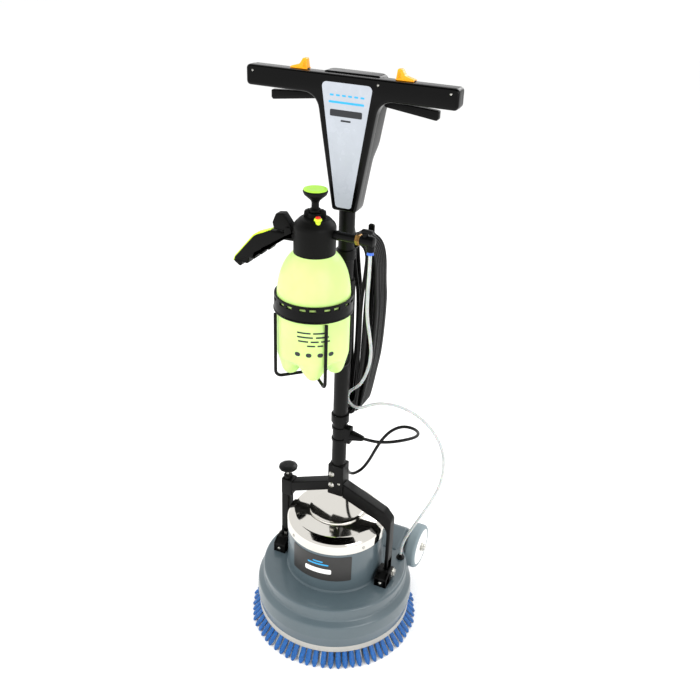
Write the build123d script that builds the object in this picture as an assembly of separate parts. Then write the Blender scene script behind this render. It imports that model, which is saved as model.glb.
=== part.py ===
from build123d import *
import os
from math import asin, atan2, cos, degrees, pi, radians, sin, tan

# Rotary floor machine: one brush under a round deck, a motor in a drum on top, and a pole that
# tilts back on a yoke. Millimetres, +Z up, -Y is the front, the origin is where the brush's
# axis meets the floor.

os.makedirs("parts", exist_ok=True)

# --- driving dimensions ---------------------------------------------------------------------
BRUSH_R = 183
BLOCK_R = 148
BLOCK_Z = 40
BLOCK_T = 16
BUMPER_R = 165
BUMPER_Z = 30
DECK_Z0 = 46
DECK_Z = 137
DECK_T = 4
DECK_TOP_R = 156
DRUM_R = 105
DRUM_T = 4
DRUM_TOP = 256
COVER_R = 107
COVER_Z0 = 238
COVER_RIM_R = 98
COVER_RIM_Z = 277
COVER_T = 1.4
SCREW_Z = 247
COVER_SCREW_TURNS = (-33, 57, 147, 237)
LID_R = 58
LID_H = 4
SHAFT_R = 10
HUB_R = 16
FIT = 0.06
GAP = 0.4

HOUSE_X = 112
AXLE_Y = 158
AXLE_Z = 105
AXLE_R = 6
WHEEL_R = 50
WHEEL_W = 26
WHEEL_X = 131
HUB_DISC_R = 42

PIVOT_Z = 153
PIVOT_R = 5
BRACKET_IN = 106.4
BRACKET_OUT = 134
BRACKET_TOP = 168
BRACKET_Y0 = -36
BRACKET_Y1 = 12
SLOT_Z = 140
YOKE_HALF_Y = 12
LEG_L0, LEG_L1 = -127, -110
LEG_R0, LEG_R1 = 118, 126
LOCK_X = -117
LOCK_R = 4
LOCK_TRAVEL = 8.5
INDEX_R = 26
INDEX_T = 7.2
FORK_Z = 184
SOCKET_HALF_X = 17
SOCKET_HALF_Y = 16
SOCKET_Z0, SOCKET_Z1 = 322, 394

POLE_R = 14.5
POLE_T = 2
POLE_Z0, POLE_Z1 = 330, 1098
CLAMP_R = 18

BAR_HALF = 189
BAR_Z0, BAR_Z1 = 1128, 1162
HEAD_Z0 = 929
HEAD_FRONT = -18
HEAD_WALL = 3
BAR_BACK = 14
TRIGGER_X0, TRIGGER_X1 = 58, 152
TRIGGER_Y0, TRIGGER_Y1 = 2, 13.7
TRIGGER_PIN = (62, 1122)
PIN_R = 2
BUTTON_X = 93

BOTTLE_X, BOTTLE_Y = -14, -98
BOTTLE_R = 64.5
BOTTLE_Z0 = 659
COLLAR_R = 36
COLLAR_Z0 = 884
NOZZLE_Z = 922
BAND_R0, BAND_R1 = 66.2, 69.2
BAND_Z0, BAND_Z1 = 782, 812
THUMB_PIN = (-60, 918)
WIRE_R = 3
WIRE_AT = 69.5
CAGE_Z = 655

HOOK_TOP_Z = 851.5
HOOK_LOW_Z = 504.5
HOOK_ROD_R = 4.5
HOOK_END_Y = 118
COIL_Y0, COIL_Y1 = 34, 106
COIL_IN = 24
COIL_OUT = 40
COIL_BULGE_IN = 28
COIL_BULGE_OUT = 49

CORD_D = 7
LEAD_D = 6.5
HOSE_D = 6


# --- helpers --------------------------------------------------------------------------------
def save(name, shape):
    """Write one sub-part to its own file."""
    shape.label = name
    export_step(shape, f"parts/{name}.step")


def outline(plane, points):
    """A face from corners (a, b) or (a, b, radius), where a radius rounds that corner."""
    face = make_face(Polyline(*[(p[0], p[1]) for p in points], close=True))
    for p in points:
        if len(p) == 3:
            corner = face.vertices().sort_by_distance((p[0], p[1], 0))[0]
            face = fillet(corner, p[2])
    return plane * face


def turned(points):
    """A solid of revolution about Z from (radius, height) corners."""
    return revolve(outline(Plane.XZ, points), Axis.Z)


def across_x(points, x0, x1):
    """An outline of (y, z) corners, extruded from x0 to x1."""
    return extrude(outline(Plane.YZ.offset(x0), points), x1 - x0)


def across_y(points, y0, y1):
    """An outline of (x, z) corners, extruded from y0 to y1."""
    return extrude(outline(Plane.XZ.offset(-y0), points), -(y1 - y0))


def block(x0, x1, y0, y1, z0, z1):
    """A box from its limits along each axis."""
    centre = ((x0 + x1) / 2, (y0 + y1) / 2, (z0 + z1) / 2)
    return Pos(*centre) * Box(x1 - x0, y1 - y0, z1 - z0)


def rod(axis, radius, start, end, at=(0, 0)):
    """A cylinder along axis from start to end, at the other two coordinates."""
    if axis == "X":
        plane = Plane((start, at[0], at[1]), x_dir=(0, 1, 0), z_dir=(1, 0, 0))
    elif axis == "Y":
        plane = Plane((at[0], start, at[1]), x_dir=(1, 0, 0), z_dir=(0, 1, 0))
    else:
        plane = Plane((at[0], at[1], start))
    return extrude(plane * Circle(radius), end - start)


def pipe(axis, outer, inner, start, end, at=(0, 0)):
    """A tube along axis."""
    return rod(axis, outer, start, end, at) - rod(axis, inner, start - 1, end + 1, at)


def bent_tube(name, points, diameter):
    """A cord's tube: straight runs and the largest tangent arcs that its runs allow."""
    route = [Vector(*p) for p in points]
    runs = [route[i + 1] - route[i] for i in range(len(route) - 1)]
    radii = []
    for before, after in zip(runs, runs[1:]):
        turn = radians(before.get_angle(after))
        radii.append(0.45 * min(before.length, after.length) / tan(turn / 2))
    path = FilletPolyline(*route, radius=radii)
    start = Plane(path @ 0, z_dir=path % 0)
    tube = sweep(start * Circle(diameter / 2), path)
    full = pi * (diameter / 2) ** 2 * path.length
    print(f"{name}: length {path.length:.0f} mm, volume {tube.volume / full:.4f} of section x length")
    print("   radii in diameters", [round(r / diameter, 1) for r in radii])
    print("   runs in mm", [round(r.length) for r in runs])
    return tube


# --- deck, drum and motor -------------------------------------------------------------------
def deck_shell():
    """A round pan with a stepped side, and the box behind it that carries the wheel axle."""
    outer = turned([
        (0, DECK_Z0), (BUMPER_R - 0.5, DECK_Z0), (BUMPER_R - 0.5, 72, 14), (163, 97, 7),
        (155.5, 109, 7), (DECK_TOP_R, DECK_Z, 4), (0, DECK_Z),
    ])
    inner = turned([
        (0, DECK_Z0 - 1), (BUMPER_R - 4.5, DECK_Z0 - 1), (BUMPER_R - 4.5, 72), (159, 94),
        (151.5, 106), (152, DECK_Z - DECK_T), (0, DECK_Z - DECK_T),
    ])
    box = across_x([
        (58, 120), (76, DECK_Z), (150, 153, 10), (169, 138, 8), (172, 72, 8), (158, 60, 6),
        (100, 60), (100, 120),
    ], -HOUSE_X, HOUSE_X)
    hollow = across_x([
        (64, 116), (80, DECK_Z - DECK_T), (149, 149, 6), (165, 136, 5), (168, 74, 5), (156, 64, 4),
        (104, 64), (104, 116),
    ], -HOUSE_X + DECK_T, HOUSE_X - DECK_T)
    drum_room = rod("Z", DRUM_R + 2, DECK_Z, DRUM_TOP)
    motor_hole = rod("Z", 95, DECK_Z - DECK_T - 1, DECK_Z + 1)
    axle_hole = rod("X", AXLE_R + 0.05, -HOUSE_X - 1, HOUSE_X + 1, (AXLE_Y, AXLE_Z))
    return outer + (box - drum_room) - inner - hollow - motor_hole - axle_hole


def bumper_ring():
    """The soft ring round the deck's lower edge."""
    return turned([
        (159, BUMPER_Z), (BUMPER_R, BUMPER_Z, 3), (BUMPER_R + 0.5, DECK_Z0 - 3, 2),
        (BUMPER_R - 1, DECK_Z0), (159, DECK_Z0),
    ])


def motor_drum():
    """The painted can that holds the stator, with a small bead at its foot."""
    return turned([
        (DRUM_R - DRUM_T, DECK_Z), (DRUM_R + 1, DECK_Z), (DRUM_R + 1, DECK_Z + 2),
        (DRUM_R, DECK_Z + 4), (DRUM_R, DRUM_TOP), (DRUM_R - DRUM_T, DRUM_TOP),
    ])


def motor_cover():
    """Polished steel lid: a band that turns in to a rim, and a raised round centre."""
    t = COVER_T
    shell = turned([
        (COVER_R, COVER_Z0), (COVER_R, 256, 18), (COVER_RIM_R, COVER_RIM_Z, 2.5),
        (LID_R + 2, COVER_RIM_Z + 1), (LID_R, COVER_RIM_Z + 1 + LID_H, 1.2),
        (0, COVER_RIM_Z + 1 + LID_H), (0, COVER_RIM_Z + 1 + LID_H - t),
        (LID_R - t, COVER_RIM_Z + 1 + LID_H - t), (LID_R + 1, COVER_RIM_Z + 1 - t),
        (COVER_RIM_R - 1.2, COVER_RIM_Z - t), (COVER_R - t, 255.5), (COVER_R - t, COVER_Z0),
    ])
    for turn in COVER_SCREW_TURNS:
        shell -= Rot(0, 0, turn) * rod("X", 1.95, DRUM_R, COVER_R + 1, (0, SCREW_Z))
    return shell


def drum_badge():
    """A thin name plate that wraps the front of the drum."""
    ring = pipe("Z", DRUM_R + 0.7, DRUM_R + 0.1, 168, 231)
    half = radians(38.5)
    reach = 1.5 * DRUM_R
    corners = [(0, 0)]
    for turn in (-half, 0, half):
        corners.append((reach * sin(turn), -reach * cos(turn)))
    wedge = extrude(make_face(Polyline(*corners, close=True)), 300)
    return ring & (Rot(0, 0, 3) * wedge)


def cover_screws():
    """Four button screws round the cover's band."""
    screw = rod("X", 1.9, DRUM_R + 0.2, COVER_R, (0, SCREW_Z)) + rod("X", 3.6, COVER_R, COVER_R + 1.6, (0, SCREW_Z))
    return Compound(children=[Rot(0, 0, turn) * screw for turn in COVER_SCREW_TURNS])


def motor_mount():
    """The plate under the deck that the motor and the gearbox are bolted to."""
    plate = rod("Z", 120, 127, DECK_Z - DECK_T) - rod("Z", SHAFT_R + FIT, 120, DECK_Z)
    for i in range(6):
        plate -= Rot(0, 0, 60 * i) * rod("Z", 3, 120, DECK_Z, (110, 0))
    return plate


def stator():
    """The laminated ring inside the drum, with winding heads above and below."""
    core = pipe("Z", DRUM_R - DRUM_T - 0.2, 55, 158, 206)
    heads = pipe("Z", 92, 62, 148, 216)
    return core + heads


def rotor_core():
    """The laminated cylinder that turns inside the stator."""
    return pipe("Z", 54.3, SHAFT_R + 0.02, 158, 206)


def motor_shaft():
    """The shaft, from the upper end down into the gearbox."""
    return rod("Z", SHAFT_R, 100, 236)


def gearbox():
    """A closed reduction gearbox under the mount, with the shaft in its top and the hub below."""
    body = turned([(0, 78), (54, 78, 6), (62, 92, 6), (62, 127), (0, 127)])
    shaft_hole = rod("Z", SHAFT_R + FIT, 98, 128)
    hub_hole = rod("Z", HUB_R + FIT, 77, 96)
    return body - shaft_hole - hub_hole


def terminal_box():
    """The box on the back of the drum where the motor's lead ends."""
    box = fillet(block(-50, -10, 80, 128, 190, 237).edges().filter_by(Axis.Z), 5)
    return box - rod("Z", DRUM_R + 0.2, 180, 250)


def lead_gland():
    """The screwed gland on the terminal box."""
    nut = extrude(Plane((-30, 117, 237)) * RegularPolygon(9, 6), 7)
    return nut + rod("Z", 6.5, 244, 254, (-30, 117))


# --- brush ----------------------------------------------------------------------------------
def drive_plate():
    """The hub from the gearbox and the plate that grips the brush."""
    return rod("Z", HUB_R, 60, 95) + rod("Z", 70, BLOCK_Z + BLOCK_T, 64)


def brush_block():
    """The round block that holds the tufts."""
    return turned([
        (0, BLOCK_Z), (BLOCK_R, BLOCK_Z), (BLOCK_R, BLOCK_Z + BLOCK_T, 4), (0, BLOCK_Z + BLOCK_T),
    ])


def brush_tufts():
    """The bristle body, splayed out towards the floor."""
    return turned([(0, 0), (BRUSH_R, 0), (BLOCK_R - 4, BLOCK_Z), (0, BLOCK_Z)])


# --- wheels ---------------------------------------------------------------------------------
def tyre(side):
    """A solid tyre with rounded shoulders."""
    x0 = WHEEL_X - WHEEL_W / 2
    ring = pipe("X", WHEEL_R, HUB_DISC_R, x0, x0 + WHEEL_W, (AXLE_Y, AXLE_Z))
    rims = ring.edges().filter_by(GeomType.CIRCLE).filter_by(lambda e: e.radius > WHEEL_R - 1)
    return Pos(0, 0, 0) * (fillet(rims, 6) if side > 0 else mirror(fillet(rims, 6), Plane.YZ))


def wheel_hub(side):
    """A disc hub with a dished face and a bored boss."""
    x0 = WHEEL_X - WHEEL_W / 2
    x1 = x0 + WHEEL_W
    at = (AXLE_Y, AXLE_Z)
    disc = rod("X", HUB_DISC_R, x0 + 2, x1 - 2, at) - rod("X", HUB_DISC_R - 6, x1 - 4, x1 + 1, at)
    disc -= pipe("X", HUB_DISC_R - 8, 18, x0, x1 - 8, at)
    boss = rod("X", 12, x0, x1, at)
    hub = disc + boss - rod("X", AXLE_R + FIT, x0 - 1, x1 + 1, at)
    return hub if side > 0 else mirror(hub, Plane.YZ)


def wheel_axle():
    """A plain axle with a shoulder outside each wall of the box."""
    at = (AXLE_Y, AXLE_Z)
    end = WHEEL_X + WHEEL_W / 2 + 8
    shape = rod("X", AXLE_R, -end, end, at)
    shoulder = WHEEL_X - WHEEL_W / 2 - GAP
    for x0, x1 in ((HOUSE_X, shoulder), (-shoulder, -HOUSE_X)):
        shape += rod("X", 10, x0, x1, at)
    return shape


def axle_nuts():
    """A capped nut outside each wheel."""
    x0 = WHEEL_X + WHEEL_W / 2 + GAP
    face = Plane((x0, AXLE_Y, AXLE_Z), x_dir=(0, 1, 0), z_dir=(1, 0, 0))
    nut = extrude(face * RegularPolygon(9, 6), 6)
    nut += rod("X", 7, x0 + 6, x0 + 10, (AXLE_Y, AXLE_Z))
    nut -= rod("X", AXLE_R, x0 - 1, WHEEL_X + WHEEL_W / 2 + 8, (AXLE_Y, AXLE_Z))
    return Compound(children=[nut, mirror(nut, Plane.YZ)])


# --- tilt pivots ----------------------------------------------------------------------------
def bracket(leg0, leg1):
    """A cast foot with a slot, open above and behind, for a yoke leg."""
    side = 1 if leg0 > 0 else -1
    x0, x1 = sorted((side * BRACKET_IN, side * BRACKET_OUT))
    body = across_x([
        (BRACKET_Y0, DECK_Z), (BRACKET_Y0, 157, 7), (-22, BRACKET_TOP, 8), (6, BRACKET_TOP, 10),
        (BRACKET_Y1, 150, 4), (BRACKET_Y1, DECK_Z),
    ], x0, x1)
    slot = block(leg0 - GAP, leg1 + GAP, -YOKE_HALF_Y - 1, 60, SLOT_Z, 200)
    return body - slot - rod("X", PIVOT_R + 0.02, x0 - 1, x1 + 1, (0, PIVOT_Z))


def index_plate():
    """The notched plate in the left foot that the lock pin drops into."""
    x0 = LOCK_X - INDEX_T / 2
    x1 = LOCK_X + INDEX_T / 2
    plate = rod("X", INDEX_R, x0, x1, (0, PIVOT_Z)) & block(x0, x1, -YOKE_HALF_Y, 40, SLOT_Z, 200)
    notch = block(x0 - 1, x1 + 1, -LOCK_R - 0.2, LOCK_R + 0.2, 20, 40)
    for tilt in (0, 25, 50):
        plate -= Pos(0, 0, PIVOT_Z) * Rot(-tilt, 0, 0) * notch
    return plate - rod("X", PIVOT_R + 0.02, x0 - 1, x1 + 1, (0, PIVOT_Z))


def bracket_fasteners():
    """The two pivot bolts with hex heads, and the screw in the front of each foot."""
    head = Plane((BRACKET_OUT, 0, PIVOT_Z), x_dir=(0, 1, 0), z_dir=(1, 0, 0))
    bolt = rod("X", PIVOT_R, BRACKET_IN, BRACKET_OUT, (0, PIVOT_Z)) + extrude(head * RegularPolygon(9, 6), 6)
    screw = rod("Y", 3.6, BRACKET_Y0 - 2, BRACKET_Y0, (120, 147))
    return Compound(children=[bolt, screw, mirror(bolt, Plane.YZ), mirror(screw, Plane.YZ)])


def solution_inlet():
    """The barbed inlet on the deck that the liquid hose goes onto."""
    flange = rod("Z", 9, DECK_Z, DECK_Z + 3, INLET)
    return flange + rod("Z", 4, DECK_Z + 3, INLET_Z, INLET)


# --- yoke and pole --------------------------------------------------------------------------
def yoke():
    """A welded yoke: a hollow left leg for the lock pin, a flat right leg and the pole socket."""
    y0, y1 = -YOKE_HALF_Y, YOKE_HALF_Y
    left = across_y([
        (-SOCKET_HALF_X, 350), (-102, 315), (-102, 318), (LEG_L0, 318), (LEG_L0, FORK_Z),
        (LEG_L1, FORK_Z), (LEG_L1, 283), (-104, 292, 5), (-SOCKET_HALF_X, 327.5),
    ], y0, y1)
    left -= block(LEG_L0 + 2.5, LEG_L1 - 2.5, y0 + 2.5, y1 - 2.5, FORK_Z + 8, 312)
    left -= rod("Z", LOCK_R + FIT, FORK_Z - 1, 330, (LOCK_X, 0))
    left += pipe("Z", 9.5, LOCK_R + FIT, 318, 325, (LOCK_X, 0))
    half = INDEX_T / 2 + GAP
    for x0, x1 in ((LEG_L0, LOCK_X - half), (LOCK_X + half, LEG_L1)):
        tongue = block(x0, x1, y0, y1, PIVOT_Z, FORK_Z) + rod("X", y1, x0, x1, (0, PIVOT_Z))
        left += tongue - rod("X", PIVOT_R + FIT, x0 - 1, x1 + 1, (0, PIVOT_Z))
    right = across_y([
        (SOCKET_HALF_X, 350.5), (110, 311.5, 16), (LEG_R1, 292, 10), (LEG_R1, PIVOT_Z),
        (LEG_R0, PIVOT_Z), (LEG_R0, 268, 24), (98, 284, 20), (SOCKET_HALF_X, 317),
    ], y0, y1)
    right += rod("X", y1, LEG_R0, LEG_R1, (0, PIVOT_Z))
    right -= rod("X", PIVOT_R + FIT, LEG_R0 - 1, LEG_R1 + 1, (0, PIVOT_Z))
    socket = block(-SOCKET_HALF_X, SOCKET_HALF_X, -SOCKET_HALF_Y, SOCKET_HALF_Y, SOCKET_Z0, SOCKET_Z1)
    socket = fillet(socket.edges().filter_by(Axis.Z), 3)
    socket -= rod("Z", POLE_R + 0.05, POLE_Z0, SOCKET_Z1 + 1)
    return left + right + socket


def handle_fasteners():
    """Button-head bolts in the pole socket, and the small screws that close the head."""
    heads = []
    for x, z, radius in ((-8, 372, 6.5), (-8, 345, 6.5), (9, 352, 3)):
        head = rod("Y", radius, -SOCKET_HALF_Y - 4, -SOCKET_HALF_Y, (x, z))
        outer = head.faces().sort_by(Axis.Y)[0].edges()
        heads.append(fillet(outer, radius * 0.4))
    for at in ((-176, 1153), (176, 1153), (54, 1153)):
        heads.append(rod("Y", 2.2, HEAD_FRONT - 0.8, HEAD_FRONT, at))
    return Compound(children=heads)


def lock_pin():
    """The pin that drops into the notched plate and locks the pole, drawn up."""
    return rod("Z", LOCK_R, FORK_Z - 2, 340, (LOCK_X, 0))


def lock_knob():
    """The mushroom knob on the lock pin."""
    knob = turned([
        (0, 335), (8, 335), (10, 339), (20, 341, 1.5), (20, 347, 2.5), (13, 351), (0, 351.5),
    ])
    return Pos(LOCK_X, 0, 0) * (knob - rod("Z", LOCK_R, 330, 340))


def pole():
    """The steel pole from the yoke socket up into the head."""
    return pipe("Z", POLE_R, POLE_R - POLE_T, POLE_Z0, POLE_Z1)


def lead_connector():
    """The strapped connector on the pole where the motor's lead plugs in."""
    strap = pipe("Z", CLAMP_R, POLE_R + 0.1, 452, 484)
    body = rod("X", 10, 17, 42, (0, LEAD_Z)) + rod("X", 6.5, 42, LEAD_X, (0, LEAD_Z))
    return strap + body - rod("Z", POLE_R + 0.1, 440, 500)


# --- head -----------------------------------------------------------------------------------
def tee(inset, top, corner):
    """The head's outline: the bar with the tapered body below it, moved in by inset."""
    return [
        (-BAR_HALF + inset, top - inset, corner), (BAR_HALF - inset, top - inset, corner),
        (BAR_HALF - inset, BAR_Z0 + inset, corner), (56 - inset, BAR_Z0 + inset, 28),
        (25 - inset, HEAD_Z0 + inset, corner), (-25 + inset, HEAD_Z0 + inset, corner),
        (-56 + inset, BAR_Z0 + inset, 28), (-BAR_HALF + inset, BAR_Z0 + inset, corner),
    ]


def button_slots():
    """The two slots in the top of the bar under the thumb buttons."""
    slots = block(BUTTON_X - 12, BUTTON_X + 6, -3.2, 3.2, BAR_Z1 - 5, BAR_Z1 + 1)
    return slots + mirror(slots, Plane.YZ)


def head_front_shell():
    """The front half of the head: bar and body in one moulding."""
    shell = across_y(tee(0, BAR_Z1, 7), HEAD_FRONT, 0)
    shell = fillet(shell.faces().sort_by(Axis.Y)[0].edges(), 3)
    shell -= across_y(tee(HEAD_WALL, BAR_Z1, 4), HEAD_FRONT + HEAD_WALL, 1)
    shell -= rod("Z", POLE_R + 0.1, HEAD_Z0 - 1, HEAD_Z0 + 10)
    return shell - button_slots()


def head_back_body(inset):
    """The deep casing behind the body, stepped in lower down, moved in by inset."""
    side = across_x([
        (-1, HEAD_Z0 + inset), (18 - inset, HEAD_Z0 + inset), (18 - inset, 1010, 6),
        (34 - inset, 1042, 8), (34 - inset, BAR_Z1 + 2 - inset, 8), (-1, BAR_Z1 + 2 - inset),
    ], -70, 70)
    front = across_y([
        (-25 + inset, HEAD_Z0 + inset, 5), (25 - inset, HEAD_Z0 + inset, 5),
        (52 - inset, BAR_Z0), (52 - inset, BAR_Z1 + 2 - inset, 9),
        (-52 + inset, BAR_Z1 + 2 - inset, 9), (-52 + inset, BAR_Z0),
    ], 0, 40)
    return side & front


def head_rear_shell():
    """The rear half of the head: the back of the bar and the deep casing."""
    bar = fillet(block(-BAR_HALF, BAR_HALF, 0, BAR_BACK, BAR_Z0, BAR_Z1).edges().filter_by(Axis.Y), 7)
    hollow = block(
        -BAR_HALF + HEAD_WALL, BAR_HALF - HEAD_WALL, -1, BAR_BACK - HEAD_WALL,
        BAR_Z0 + HEAD_WALL, BAR_Z1 - HEAD_WALL,
    )
    shell = bar + head_back_body(0) - hollow - head_back_body(HEAD_WALL)
    shell -= rod("Z", POLE_R + 0.1, HEAD_Z0 - 1, HEAD_Z0 + 10)
    x, z = TRIGGER_PIN
    ear = block(x - 5, x + 5, BAR_BACK, BAR_BACK + 3, z - 5, BAR_Z0 + 12)
    ear += rod("Y", PIN_R, 0, BAR_BACK + 3, (x, z))
    shell += ear + mirror(ear, Plane.YZ)
    return shell - rod("Z", 6, 1000, 1050, GLAND_AT) - button_slots()


def head_plate():
    """The tapered plate on the front of the head."""
    return across_y([
        (-46, 1149, 8), (46, 1149, 8), (18.5, 935, 7), (-18.5, 935, 7),
    ], HEAD_FRONT - 1.2, HEAD_FRONT)


def trigger(side):
    """A squeeze lever under the back of the bar, hinged at its inner end."""
    shape = across_y([
        (TRIGGER_X0, 1127.2, 2), (TRIGGER_X0, 1117, 3), (TRIGGER_X1, 1105, 3), (TRIGGER_X1, 1120.8, 2),
    ], TRIGGER_Y0, TRIGGER_Y1) - rod("Y", PIN_R + FIT, 0, BAR_BACK + 1, TRIGGER_PIN)
    return shape if side > 0 else mirror(shape, Plane.YZ)


def thumb_button(side):
    """A sliding safety button on the bar: a base with a fin at its inner end, and a stem."""
    base_z = BAR_Z1 + 0.3
    shape = across_y([
        (BUTTON_X - 14, base_z), (BUTTON_X - 14, base_z + 3), (BUTTON_X - 12, 1179.5, 2),
        (BUTTON_X - 5, 1179.5, 2), (BUTTON_X + 1, base_z + 7, 6), (BUTTON_X + 17, base_z + 3),
        (BUTTON_X + 17, base_z),
    ], -7, 7)
    shape += block(BUTTON_X - 6, BUTTON_X + 5, -2.8, 2.8, BAR_Z1 - 8, base_z)
    return shape if side > 0 else mirror(shape, Plane.YZ)


# --- cable hooks ----------------------------------------------------------------------------
def cable_hook(z, way):
    """A strap round the pole with a rod to the back and an upright post at its end."""
    strap = pipe("Z", CLAMP_R, POLE_R + 0.1, z - 9, z + 9)
    arm = rod("Y", HOOK_ROD_R, 16, HOOK_END_Y, (0, z))
    low, high = sorted((z - way * 6, z + way * 20))
    post = block(-6, 6, HOOK_END_Y - 6, HOOK_END_Y, low, high)
    return strap + (arm - rod("Z", POLE_R + 0.1, z - 20, z + 20)) + post


# --- sprayer --------------------------------------------------------------------------------
AT_BOTTLE = Pos(BOTTLE_X, BOTTLE_Y, 0)


def holder_clamp():
    """The strap round the pole and the arm that carries the bottle's band."""
    strap = pipe("Z", CLAMP_R, POLE_R + 0.1, 778, 802)
    towards = degrees(atan2(BOTTLE_X, -BOTTLE_Y))
    arm = Rot(0, 0, towards) * block(-8, 8, -40, -16, 782, 798)
    outside = AT_BOTTLE * rod("Z", BAND_R1, 770, 820)
    return strap + (arm - outside - rod("Z", POLE_R + 0.1, 770, 810))


def bottle_holder():
    """A flat band with two wire loops that cross under the bottle."""
    band = pipe("Z", BAND_R1, BAND_R0, BAND_Z0, BAND_Z1)
    path = FilletPolyline(
        (WIRE_AT, 0, BAND_Z0 + 3), (WIRE_AT, 0, CAGE_Z), (-WIRE_AT, 0, CAGE_Z),
        (-WIRE_AT, 0, BAND_Z0 + 3), radius=12,
    )
    wire = sweep(Plane(path @ 0, z_dir=path % 0) * Circle(WIRE_R), path)
    return AT_BOTTLE * (band + Rot(0, 0, 45) * wire + Rot(0, 0, 135) * wire)


def bottle_form(inset):
    """The bottle's solid form, ring foot and round shoulder, moved in by inset."""
    r = BOTTLE_R - inset
    foot = BOTTLE_Z0 + inset
    lower = Polyline((0, foot + 10), (24, foot + 6), (40, foot), (50 - inset, foot), (r, foot + 30), (r, 800))
    shoulder = ThreePointArc((r, 800), (57.5 - inset, 849), (30 - inset, 887 - inset))
    neck = Polyline((30 - inset, 887 - inset), (30 - inset, 898), (0, 898), (0, foot + 10))
    return AT_BOTTLE * revolve(make_face(Plane.XZ * (lower + shoulder + neck)), Axis.Z)


def bottle_body():
    """A blown bottle, hollow, open at its neck."""
    return bottle_form(0) - bottle_form(1.6)


def sprayer_collar():
    """The screwed collar with a domed top and the guide for the pump rod."""
    body = turned([
        (0, COLLAR_Z0), (COLLAR_R, COLLAR_Z0), (COLLAR_R, 934, 12), (22, 946, 6), (12.5, 948),
        (12.5, 958, 2), (0, 958),
    ])
    for turn in (0, 180):
        body += Rot(0, 0, turn) * block(8, 17, -3.5, 3.5, 946, 955)
    body -= rod("Z", 5.06, 930, 960, RELIEF)
    body = AT_BOTTLE * body - bottle_form(-0.1) + AT_BOTTLE * rod("Z", 10, 795, 904)
    return body - AT_BOTTLE * rod("Z", 7 + FIT, 800, 970)


def spray_handle():
    """The grip that slopes down from the collar, with finger ridges under it."""
    shape = across_y([
        (-46, 924), (-56, 909), (-88, 909), (-124, 893, 30), (-170, 843, 3), (-156, 832, 3),
        (-134, 851, 4), (-113, 866, 4), (-88, 885, 6), (-72, 899, 10), (-46, 900),
    ], BOTTLE_Y - 12, BOTTLE_Y + 12)
    for y0, y1 in ((BOTTLE_Y - 12, BOTTLE_Y - 9.4), (BOTTLE_Y + 9.4, BOTTLE_Y + 12)):
        shape += block(-66, -54, y0, y1, 905, 923)
    shape += rod("Y", PIN_R, BOTTLE_Y - 12, BOTTLE_Y + 12, THUMB_PIN)
    return shape - AT_BOTTLE * rod("Z", COLLAR_R + 0.05, 860, 960)


def thumb_trigger():
    """The thumb lever on top of the grip."""
    return across_y([
        (-54, 926, 3), (-56, 914, 2), (-88, 914, 2), (-90, 934, 3), (-68, 946, 4),
    ], BOTTLE_Y - 9, BOTTLE_Y + 9) - rod("Y", PIN_R + FIT, BOTTLE_Y - 12, BOTTLE_Y + 12, THUMB_PIN)


def pump_handle():
    """The pump rod with its flared knob, pushed down."""
    shape = turned([
        (0, 806), (7, 806), (7, 963, 6), (9, 973, 10), (20, 985, 4), (21.5, 992, 3), (18, 995, 2),
        (0, 995.5),
    ])
    return AT_BOTTLE * shape


def relief_valve():
    """The pull valve in the collar's top."""
    body = rod("Z", 5, 932, 950, RELIEF) + rod("Z", 7, 947, 952, RELIEF) + rod("Z", 4.5, 952, 955, RELIEF)
    return AT_BOTTLE * body


def flow_valve():
    """The outlet tube, the tap body and the push fitting that turns the flow down."""
    at = (BOTTLE_Y, NOZZLE_Z)
    tube = rod("X", 6, 18, 62, at) - AT_BOTTLE * rod("Z", COLLAR_R + 0.05, 900, 940)
    tap = rod("X", 9, 70, 96, at) + rod("Z", 7, 905, NOZZLE_Z, (HOSE_X, BOTTLE_Y))
    tap += rod("Z", 5, NOZZLE_Z, 938, (78, BOTTLE_Y)) + block(70, 92, BOTTLE_Y - 4, BOTTLE_Y + 4, 936, 941)
    return Compound(children=[tube, tap])


def brass_nut():
    """The brass nut between the outlet tube and the tap."""
    face = Plane((62, BOTTLE_Y, NOZZLE_Z), x_dir=(0, 1, 0), z_dir=(1, 0, 0))
    return extrude(face * RegularPolygon(10, 6), 8)


def hose_collet():
    """The release ring of the push fitting."""
    return rod("Z", 6.2, 900, 905, (HOSE_X, BOTTLE_Y))


# --- cords ----------------------------------------------------------------------------------
GLAND_AT = (-10, 27)
GLAND_END = 975
HOSE_X = 88
LEAD_X = 52
LEAD_Z = 468
INLET = (126, 68)
INLET_Z = 147
RELIEF = (15, -19)

HOSE_ROUTE = [
    (HOSE_X, BOTTLE_Y, 900), (HOSE_X, BOTTLE_Y, 868), (84, -92, 822), (80, -80, 776), (80, -62, 730),
    (76, -42, 690), (66, -22, 652), (52, -4, 616), (37, 10, 586), (22, 20, 567), (9, 24, 555),
    (2.5, 24, 541), (7, 24, 526.5), (20.5, 24, 519), (35.5, 24.5, 521.5), (50, 30, 530),
    (73, 41, 535), (106, 56, 528), (140, 70, 508), (170, 82, 474), (190, 90, 432),
    (196, 94, 388), (192, 95, 340), (176, 94, 292), (158, 92, 250), (144, 88, 217),
    (133, 81, 192), (127.5, 73, 175), (126, 68, 161), (126, 68, INLET_Z),
]

LEAD_ROUTE = [
    (LEAD_X, 0, LEAD_Z), (74, 0, LEAD_Z), (97, -1, 474), (120, 1, 482), (141, 14, 486),
    (151, 37.5, 482), (145.5, 61.5, 476), (127, 78, 471), (103, 81.5, 466), (84, 73, 456),
    (70, 60, 439), (60, 49, 416), (51, 40, 391), (38, 36, 367), (20, 38, 348), (4, 50, 336),
    (-8, 70, 324), (-20, 92, 310), (-28, 109, 293), (-30, 117, 273), (-30, 117, 254),
]

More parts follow.
